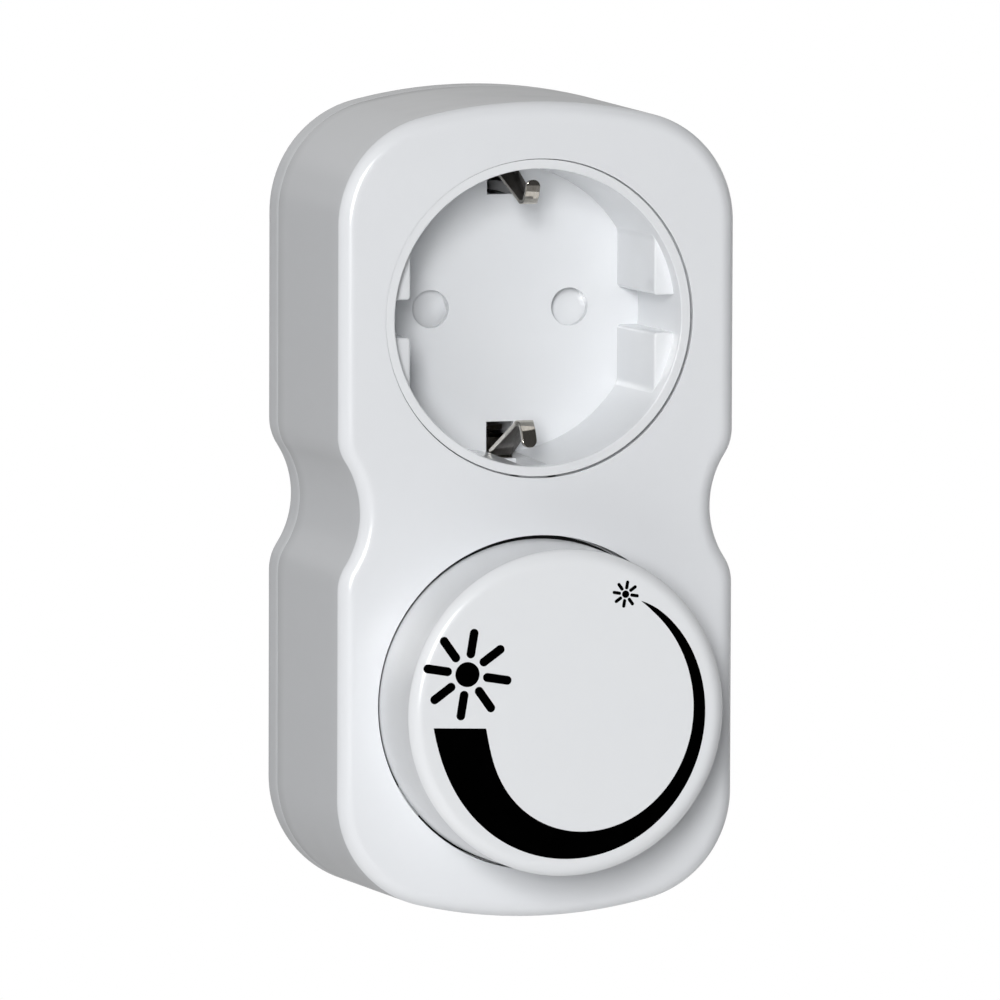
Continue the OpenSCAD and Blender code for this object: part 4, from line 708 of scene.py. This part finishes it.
# %% Line of a clip
ROOT_HALF, CLIP_HALF, TONGUE_HALF, TIP_R = 1.68, 1.2, 0.98, 0.9
CLIP_BEND_R, TONGUE = 1.1, 3.2
CLIP_ROOT = np.array([18.3, 19.4])
TONGUE_A = np.radians([140, 90])     # heading of the tongue at the bend and at its tip

tongue_s = TONGUE * np.sin(np.linspace(0, math.pi / 2, 24)[1:])
tongue_r = TONGUE / (TONGUE_A[0] - TONGUE_A[1])
tongue_a = TONGUE_A[0] - tongue_s / tongue_r
tongue = tongue_r * np.c_[math.sin(TONGUE_A[0]) - np.sin(tongue_a), np.cos(tongue_a) - math.cos(TONGUE_A[0])]


def clip_line(bend_at):
    """Depth, z and half width along a clip: a straight leg that touches the bend's circle, the bend itself
    and a tongue of a wider circle."""
    leg = bend_at - CLIP_ROOT
    leg_a = 2 * math.pi + math.atan2(leg[1], leg[0]) + math.asin(CLIP_BEND_R / np.linalg.norm(leg))
    bend = bend_at + CLIP_BEND_R * spokes(np.linspace(leg_a, TONGUE_A[0], 15) + math.pi / 2)
    leg_points = CLIP_ROOT + (bend[0] - CLIP_ROOT) * np.linspace(0, 1, 12)[:-1, None]
    half = np.r_[np.linspace(ROOT_HALF, CLIP_HALF, len(leg_points)),
                 np.linspace(CLIP_HALF, TONGUE_HALF, len(bend)),
                 rounded_tip(TONGUE - tongue_s, TONGUE_HALF, TIP_R)]
    return np.concatenate([leg_points, bend, bend[-1] + tongue]), half


print("tongue bent to a radius of", round(tongue_r, 2), "mm")

# %% Earth clips
CLIP_BENDS = {"upper": (1, [4.9, 15.85]), "lower": (-1, [6.2, 15.3])}  # side, and the bend's depth and z
CLIP_T = {"upper": 0.5, "lower": 0.72}  # in the photo the edges of the lower clip look broader
CLIP_EDGE, BEAD_R, BEAD_HALF = 0.1, 0.55, 1.7
PAINTED_DARK_FROM_BEND, PAINTED_DARK_FROM_ROOT = 0.5, 1  # the painted dark reflection starts and ends so far from these
EDGE_NORMAL = 0.3                    # faces that look further to the side than this are the bright edges


def bead(side):
    """The rolled root of a clip: a short closed cylinder along X."""
    x = np.array([-BEAD_HALF, -BEAD_HALF, BEAD_HALF, BEAD_HALF])
    flat = CLIP_ROOT + np.array([0, BEAD_R, BEAD_R, 0])[:, None, None] * spokes(full_turn(24))
    depth, z = flat[..., 0], flat[..., 1]
    return np.stack([np.broadcast_to(x[:, None], z.shape), FRONT_Y + depth, side * z], -1)


for clip, (side, bend_at) in CLIP_BENDS.items():
    strip = ribbon(*clip_line(np.array(bend_at)), CLIP_T[clip], CLIP_EDGE, side)
    spring = build_piece(clip + "_clip_spring", [sheet(strip), sheet(bead(side))], clip + "_earth_clip",
                         nickel, ["earth_clip_" + clip])
    # The second material is the nickel with a painted dark reflection, for the faces of the leg.
    spring.data.materials.append(nickel_painted_dark_reflection)
    centre, normal = np.zeros((2, len(spring.data.polygons), 3))
    spring.data.polygons.foreach_get("center", centre.ravel())
    spring.data.polygons.foreach_get("normal", normal.ravel())
    depth = centre[:, 1] / MM - FRONT_Y
    on_leg = (depth > bend_at[0] + PAINTED_DARK_FROM_BEND) & (depth < CLIP_ROOT[0] - PAINTED_DARK_FROM_ROOT)
    # painted dark reflection: the faces of the leg, but not its edges, get the darker nickel
    painted_dark_faces = on_leg & (np.abs(normal[:, 0]) < EDGE_NORMAL)
    spring.data.polygons.foreach_set("material_index", painted_dark_faces.astype(np.int32))
    # the faces counted here carry the painted dark reflection
    print(clip, "clip:", painted_dark_faces.sum(), "tarnished faces")

# %% [markdown]
# ## Ledge at the lower clip
# Something pale lies in front of the lower clip's root. It is taken to be a small ledge of the cup's own
# plastic. A scaled cube with a Bevel modifier would do, but a short ribbon needs no new function and has its
# soft edges already.

# %% Ledge
LEDGE_D, LEDGE_Z, LEDGE_HALF, LEDGE_T, LEDGE_EDGE = (16.2, 17.6), 20.04, 1.83, 0.66, 0.2

ledge_path = np.c_[LEDGE_D, np.full(2, LEDGE_Z)]
build_piece("clip_ledge", [sheet(ribbon(ledge_path, np.full(2, LEDGE_HALF), LEDGE_T, LEDGE_EDGE, -1))],
            "body", cup_plastic)

# %% [markdown]
# ## The plug's metal
# The two pins are turned and plated, with a domed tip. A cylinder with half a sphere on it would show a
# seam, so one profile runs from the shoulder inside the plug to the tip. The earth strips along the plug are
# flat sheet metal with a round end, which the ribbon gives.

# %% Plug pins
PIN_R, PIN_L = 2.4, 19
SHOULDER_R, SHOULDER_L = 2.9, 5
COLLAR_GAP, COLLAR_STEP = 0.04, 0.05

dome = np.linspace(0, math.pi / 2, 14)
collar_r = PIN_COLLAR_R - COLLAR_GAP
pin_profile = np.concatenate([
    [[0, end_back_d - SHOULDER_L], [SHOULDER_R, end_back_d - SHOULDER_L], [SHOULDER_R, end_back_d],
     [collar_r, end_back_d], [collar_r, end_d - COLLAR_STEP], [PIN_R, end_d]],
    np.c_[PIN_R * np.cos(dome), end_d + PIN_L - PIN_R * (1 - np.sin(dome))]])
for pin, sx in (("live", 1), ("neutral", -1)):
    build_piece(pin + "_pin", [sheet(turned(pin_profile, sx * PIN_X, 0, steps=64))], "body", nickel,
                ["plug_pin_" + pin])

# %% Earth strips
EARTH_STRIP_Z, EARTH_STRIP_HALF, EARTH_T, EARTH_EDGE, EARTH_TIP_R = 17.25, 2.75, 0.6, 0.15, 1.2
STRIP_START, STRIP_WIDE, STRIP_SHORT = 18.9, 19.3, 1.2  # where it starts, widens, and ends before the plug
STRIP_ROOT_HALF, STRIP_STEP = 1.75, 0.05  # at the clip a strip is narrower, and widens in one small step
STRIP_JOG = (20.9, 22.9)             # depths between which a strip comes in from the clip's root to the plug
STRIP_FINE = (20, 24)                # depths between which its points lie close together

strip_end = end_d - STRIP_SHORT
tip_d = strip_end - EARTH_TIP_R
strip_d = np.r_[STRIP_START, STRIP_WIDE, STRIP_WIDE + STRIP_STEP, np.linspace(*STRIP_FINE, 17),
                np.linspace(STRIP_FINE[1], tip_d, 7)[1:], tip_d + EARTH_TIP_R * np.sin(dome[1:])]
strip_half = np.where(strip_d <= STRIP_WIDE, STRIP_ROOT_HALF,
                      rounded_tip(strip_end - strip_d, EARTH_STRIP_HALF, EARTH_TIP_R))
strip_path = np.c_[strip_d, np.interp(strip_d, STRIP_JOG, [CLIP_ROOT[1], EARTH_STRIP_Z])]
for clip, (side, _) in CLIP_BENDS.items():
    strip = ribbon(strip_path, strip_half, EARTH_T, EARTH_EDGE, side)
    build_piece(clip + "_side_earth", [sheet(strip)], "body", nickel, ["earth_strip_" + clip])

# %% [markdown]
# ## Knob
# The knob is a smooth cap with a softly rounded edge. It could be a bevelled cylinder, but a turned profile
# also gives the neck, a little narrower below the body's face, the thin skirt that runs down into the well,
# the hub for the shaft and an even spacing of points.

# %% Knob
KNOB_R, KNOB_FACE_R, KNOB_WALL = 21.45, 21.25, 2
KNOB_FACE_D, KNOB_SKIRT_D = -13.8, 3.4
KNOB_EDGE_W, KNOB_TIGHT, KNOB_TURN = 1.8, 0.3, math.radians(58)
NECK_D, NECK_R = 0.12, 20.8
SKIRT_DRAFT = 0.2                    # the inside of the skirt narrows by this towards the face
HUB_R, HUB_HOLE_R, HUB_BACK_D, HUB_SINK = 6, 3.05, 0.5, 0.5
FILM = 0.03                          # thickness of the print, which the face makes room for

face_d = KNOB_FACE_D + FILM
knob_down, knob_in = soft_edge(KNOB_EDGE_W, KNOB_TIGHT, KNOB_TURN, 12)
skirt_r = KNOB_R - KNOB_WALL
inner_d = KNOB_FACE_D + KNOB_WALL
side_k = np.linspace(face_d + knob_down[-1], NECK_D, 7)[1:]
side_r = KNOB_FACE_R + (KNOB_R - KNOB_FACE_R) * (side_k - side_k[0]) / (side_k[-1] - side_k[0])
knob_profile = np.concatenate([
    [[0, face_d], [KNOB_FACE_R - KNOB_EDGE_W - BAND, face_d]],
    np.c_[KNOB_FACE_R - knob_in, face_d + knob_down], np.c_[side_r, side_k],
    [[NECK_R, NECK_D], [NECK_R, KNOB_SKIRT_D], [skirt_r, KNOB_SKIRT_D],
     [skirt_r - SKIRT_DRAFT, inner_d], [0, inner_d]]])
hub = tube(HUB_HOLE_R, HUB_R, inner_d - HUB_SINK, HUB_BACK_D)
knob_sheets = [sheet(turned(knob_profile, z=KNOB_Z, steps=160)), sheet(turned(hub, z=KNOB_Z, steps=64))]
build_piece("dimmer_knob", knob_sheets, "knob", knob_abs, ["knob"])

# %% [markdown]
# ## Painted shade below the knob
# A thin near-black ring is added below the knob as painted shade. It is hardly seen, but it makes the narrow
# gap round the knob read as a black line. The well could have a dark material instead, but it is one
# moulding with the white face. A turned rectangle is enough for the ring.

# %% Painted shade ring below the knob
SHADE_RING_T, SHADE_RING_GAP = 0.45, 0.2

shade_ring_profile = tube(BUSH_HOLE_R + SHADE_RING_GAP, KNOB_HOLE_R - SHADE_RING_GAP, WELL_D - SHADE_RING_T, WELL_D)
build_piece("painted_shade_ring", [sheet(turned(shade_ring_profile, KNOB_HOLE_X, KNOB_Z, steps=96))], "body", black_painted_gap_shade)

# %% [markdown]
# ## Printed scale
# The marks on the knob's face are printed: a small and a large sun at the ends of a tapered crescent. An
# image texture would blur close up, so each mark is a loop of points, made into a thin closed film that
# stays crisp at any distance.

# %% Printed marks
SUN_DISC_R, RAY_MID, RAY_HALF_L, RAY_HALF_W, SUN_LEAN = 1.62, 4.06, 1.93, 0.58, math.radians(-9.4)
SUNS = ((-13.4, 5.37, 1, 1), (7.9, 15.26, 0.298, 1.25))  # x, z, scale and how heavy the rays are
RAYS = 8
PRINT_X, PRINT_Z = -0.2, 0.06        # where the print sits from the knob's axis
CRESCENT_A = np.radians([190, 230, 270, 310, 350, 390, 415.2])
CRESCENT_IN = np.array([10.98, 12.8, 15.08, 16.9, 16.92, 17.45, 17.3])
CRESCENT_OUT = np.array([17.85, 18.3, 18.98, 19.0, 18.78, 18.55, 17.64])
CRESCENT_END = np.radians([188.9, 184.7])
CRESCENT_DEGREE, CRESCENT_POINT = 5, 0.03  # degree of the two curves, and the share that ends in a point


def sun_loops(x, z, scale, weight):
    """A disc and its rays: each ray is a bar with round ends, turned about the sun's centre."""
    ring = spokes(full_turn(48))
    half_w = RAY_HALF_W * weight
    bar = half_w * ring
    bar[:, 0] += RAY_MID + np.where(ring[:, 0] > 0, 1, -1) * (RAY_HALF_L - half_w)
    a = SUN_LEAN + full_turn(RAYS)
    spin = np.stack([spokes(a), spokes(a + math.pi / 2)], 1)
    return [np.array([x, z]) + scale * loop for loop in (SUN_DISC_R * ring, *(bar @ spin))]


def crescent_loop():
    """Two edges round the knob's axis, each a smooth curve of radius against angle, closed at the wide end
    by a straight cut and at the other by a point."""
    u = np.linspace(0, 1, 90)
    angles = CRESCENT_END[:, None] + (CRESCENT_A[-1] - CRESCENT_END[:, None]) * u
    fitted = [np.polynomial.Polynomial.fit(CRESCENT_A, radius, CRESCENT_DEGREE)
              for radius in (CRESCENT_IN, CRESCENT_OUT)]
    radii = np.stack([curve(a) for curve, a in zip(fitted, angles)])
    middle = radii.mean(0)
    taper = np.sqrt(np.clip((1 - u) / CRESCENT_POINT, 0, 1))
    inner, outer = spokes(angles) * (middle + (radii - middle) * taper)[..., None]
    return np.concatenate([inner, outer[-2::-1]])


marks = [crescent_loop()] + [loop for sun in SUNS for loop in sun_loops(*sun)]
films = [sheet(at_depth(loop + [PRINT_X, PRINT_Z + KNOB_Z], (KNOB_FACE_D, face_d))) for loop in marks]
build_piece("knob_print", films, "knob", print_ink, levels=[KNOB_FACE_D, face_d])

# %% [markdown]
# ## Pieces that keep their CAD mesh
# The shutter behind the pin holes, the screws and everything inside the body already have the right shape.
# They could be drawn again too, but nothing would be gained, so they only get their finish, by the material
# slot that the record gives each of them.

# %% Finishes of the CAD nodes
FINISH_OF = {
    "shutter_plastic": cup_plastic, "nickel": nickel, "contact_brass": brass, "steel": zinc_steel,
    "aluminium": aluminium, "copper_wire": copper, "ferrite": ferrite, "board": solder_resist,
    "black_epoxy": black_epoxy, "yellow_case": yellow_case, "red_case": red_dip, "blue_glass": blue_coat,
    "tan_lacquer": tan_lacquer, "phenolic": phenolic, "fuse_glass": fuse_glass, "lead_brown": brown_pvc,
    "lead_black": black_pvc, "housing_plastic": housing_abs, "insert_plastic": cup_plastic,
    "knob_plastic": knob_abs,
}
for row in frame["record"]["subparts"]:
    mesh = frame["nodes"][row["node"]].data
    mesh.materials.clear()
    mesh.materials.append(FINISH_OF[row["material_slot"]])

# %% [markdown]
# ## Lamps
# Four soft lamps light the dimmer. The key stands in front, up and to the left, and is narrow enough to give
# the shade in the socket an edge. A broad lamp lights the left side and the top, a weak one from below
# stands for the light that a table throws back, and one behind lights the sides that the photograph doesn't
# show. Lamp powers are often set by eye; here each is worked out from the level it should give, so that a
# surface square to the lamp shows that share of its own colour.

# %% Lamps
LAMPS = {                            # way to the lamp, how far, how wide and tall (in metres), and its level
    "key_softbox": ((-0.355, -0.905, 0.203), 1.6, (0.28, 0.56), 0.69),
    "broad_softbox": ((-0.68, -0.52, 0.52), 1.3, (1, 1), 0.22),
    "fill_softbox": ((-0.3, -0.75, -0.6), 0.45, (0.35, 0.35), 0.09),
    "rear_softbox": ((0.66, 0.75, -0.04), 1.4, (0.8, 0.8), 0.5),
}


def soft_lamp(name, way, far, size, level):
    """A flat lamp, so wide and so tall, that faces the object: power = pi^2 * far^2 * level lights a facing
    surface to that level."""
    data = bpy.data.lights.new(name, "AREA")
    data.shape = "RECTANGLE"
    data.size, data.size_y = size
    data.energy = math.pi ** 2 * far ** 2 * level
    back = np.array(way) / np.linalg.norm(way)
    right = np.cross([0, 0, 1], back)
    right /= np.linalg.norm(right)
    stand(add_object(name, data), right, np.cross(back, right), back, CAMERA_AIM * MM + back * far)
    print(name, round(data.energy, 2), "W")


for lamp_name, values in LAMPS.items():
    soft_lamp(lamp_name, *values)

# %% [markdown]
# ## Cards for the reflections
# The sides of the dimmer are seen at a flat angle, where plastic mirrors what stands behind it, and the
# metal clips mirror what stands in front. In a white world both would turn white. A photographer puts cards
# there: behind stand a grey, a pale and a nearly white one above each other, in front a dark one, and a grey
# one lies on the floor. They could be lit boards, but as glowing sheets that only mirror rays see, they
# change no other light and no shadow.

# %% Cards
BACK_CARDS = {                       # lower and upper edge in metres, and brightness
    "grey_card_behind": (-0.6, 0.03, 0.34),
    "pale_card_behind": (0.03, 0.14, 0.5),
    "white_card_above": (0.14, 0.5, 0.74),
}
BACK_R, FRONT_R = 0.6, 2.2           # radii and heights are in metres too
FLOOR_CARD_R, FLOOR_CARD_IN_R = 0.902, 0.3608
CARD_FOOT, FRONT_TOP = -0.34, 3.5
FRONT_GREY, FLOOR_GREY = 0.08, 0.3
BACK_SPAN, FRONT_SPAN = np.radians([-20, 200]), np.radians([180, 360])


def bare_material(name):
    """A material without the usual shader, and its node tree."""
    material = bpy.data.materials.new(name)
    material.use_nodes = True
    tree = material.node_tree
    tree.nodes.remove(tree.nodes["Principled BSDF"])
    return material, tree


def card(name, angles, radii, heights, grey):
    """A card of even brightness that only reflections show: rows of (r cos a, r sin a, height)."""
    material, tree = bare_material(name)
    glow = add_node(tree, "ShaderNodeEmission", {"Color": WHITE, "Strength": grey})
    tree.links.new(glow.outputs[0], tree.nodes["Material Output"].inputs["Surface"])
    rows = [np.c_[r * spokes(angles), np.full(len(angles), z)] for r, z in zip(radii, heights)]
    corners, quads = sheet(np.stack(rows), around=False)
    mesh = bpy.data.meshes.new(name)
    mesh.from_pydata(corners, [], quads.tolist())
    mesh.materials.append(material)
    board = add_object(name, mesh)
    board.visible_camera = board.visible_diffuse = board.visible_shadow = board.visible_transmission = False
    print(name, len(quads), "faces at brightness", grey)


back_a, front_a = np.linspace(*BACK_SPAN, 45), np.linspace(*FRONT_SPAN, 37)
for card_name, (low, high, grey) in BACK_CARDS.items():
    card(card_name, back_a, (BACK_R, BACK_R), (low, high), grey)
card("dark_card_in_front", front_a, (FLOOR_CARD_R, FRONT_R, FRONT_R), (CARD_FOOT, CARD_FOOT, FRONT_TOP),
     FRONT_GREY)
card("grey_card_on_floor", front_a, (FLOOR_CARD_IN_R, FLOOR_CARD_R), (CARD_FOOT, CARD_FOOT), FLOOR_GREY)

# %% [markdown]
# ## World and floor
# The background is white only for rays from the camera, from mirrors and through glass, so it adds no light;
# all other rays meet a dim, even sky. A bright world alone would also give a white background, but it would
# wash out every shadow. The floor lies well below, as the dimmer hangs on a wall by its plug, and it turns
# into the white background towards its rim.

# %% World
AMBIENT = 0.08


def seen_directly(tree):
    """1 for rays from the camera, a mirror or glass, and 0 for the rays that carry light."""
    ray = add_node(tree, "ShaderNodeLightPath", {}).outputs
    both = add_node(tree, "ShaderNodeMath", {0: ray["Is Camera Ray"], 1: ray["Is Glossy Ray"]},
                    operation="MAXIMUM")
    return add_node(tree, "ShaderNodeMath", {0: both.outputs[0], 1: ray["Is Transmission Ray"]},
                    operation="MAXIMUM").outputs[0]


world = bpy.data.worlds.new("white_studio")
bpy.context.scene.world = world
world.use_nodes = True
sky = world.node_tree
strength = add_node(sky, "ShaderNodeMapRange", {"Value": seen_directly(sky), "To Min": AMBIENT, "To Max": 1})
sky.links.new(strength.outputs[0], sky.nodes["Background"].inputs["Strength"])
sky.nodes["Background"].inputs["Color"].default_value = WHITE
print("sky at", AMBIENT, "of the level of a white background")

# %% Floor
GROUND_Z, GROUND_R = -0.36, 0.8      # in metres
GROUND_STEPS = 64
FADE_START, FADE_SHARE = 0.1, 0.8    # so far from the origin the share of white is this; it is 1 at GROUND_R

white_floor, ground = bare_material("white_studio_floor")
paint = add_node(ground, "ShaderNodeBsdfDiffuse", {"Color": linear("#F2F2F2")})
glow = add_node(ground, "ShaderNodeEmission", {"Color": WHITE, "Strength": 1})
spot = add_node(ground, "ShaderNodeTexCoord", {})
reach = add_node(ground, "ShaderNodeVectorMath", {0: spot.outputs["Object"]}, operation="LENGTH")
fade = add_node(ground, "ShaderNodeMapRange", {"Value": reach.outputs["Value"], "From Min": FADE_START,
                                               "From Max": GROUND_R, "To Min": FADE_SHARE, "To Max": 1})
share = add_node(ground, "ShaderNodeMath", {0: fade.outputs[0], 1: seen_directly(ground)},
                 operation="MULTIPLY")
mix = add_node(ground, "ShaderNodeMixShader", {0: share.outputs[0], 1: paint.outputs[0], 2: glow.outputs[0]})
ground.links.new(mix.outputs[0], ground.nodes["Material Output"].inputs["Surface"])

floor_rim = np.c_[GROUND_R * spokes(full_turn(GROUND_STEPS)), np.full(GROUND_STEPS, GROUND_Z)]
floor_mesh = bpy.data.meshes.new("studio_floor")
floor_mesh.from_pydata(floor_rim, [], [list(range(GROUND_STEPS))])
floor_mesh.materials.append(white_floor)
floor = add_object("studio_floor", floor_mesh)
print("floor", 2 * GROUND_R, "m across")
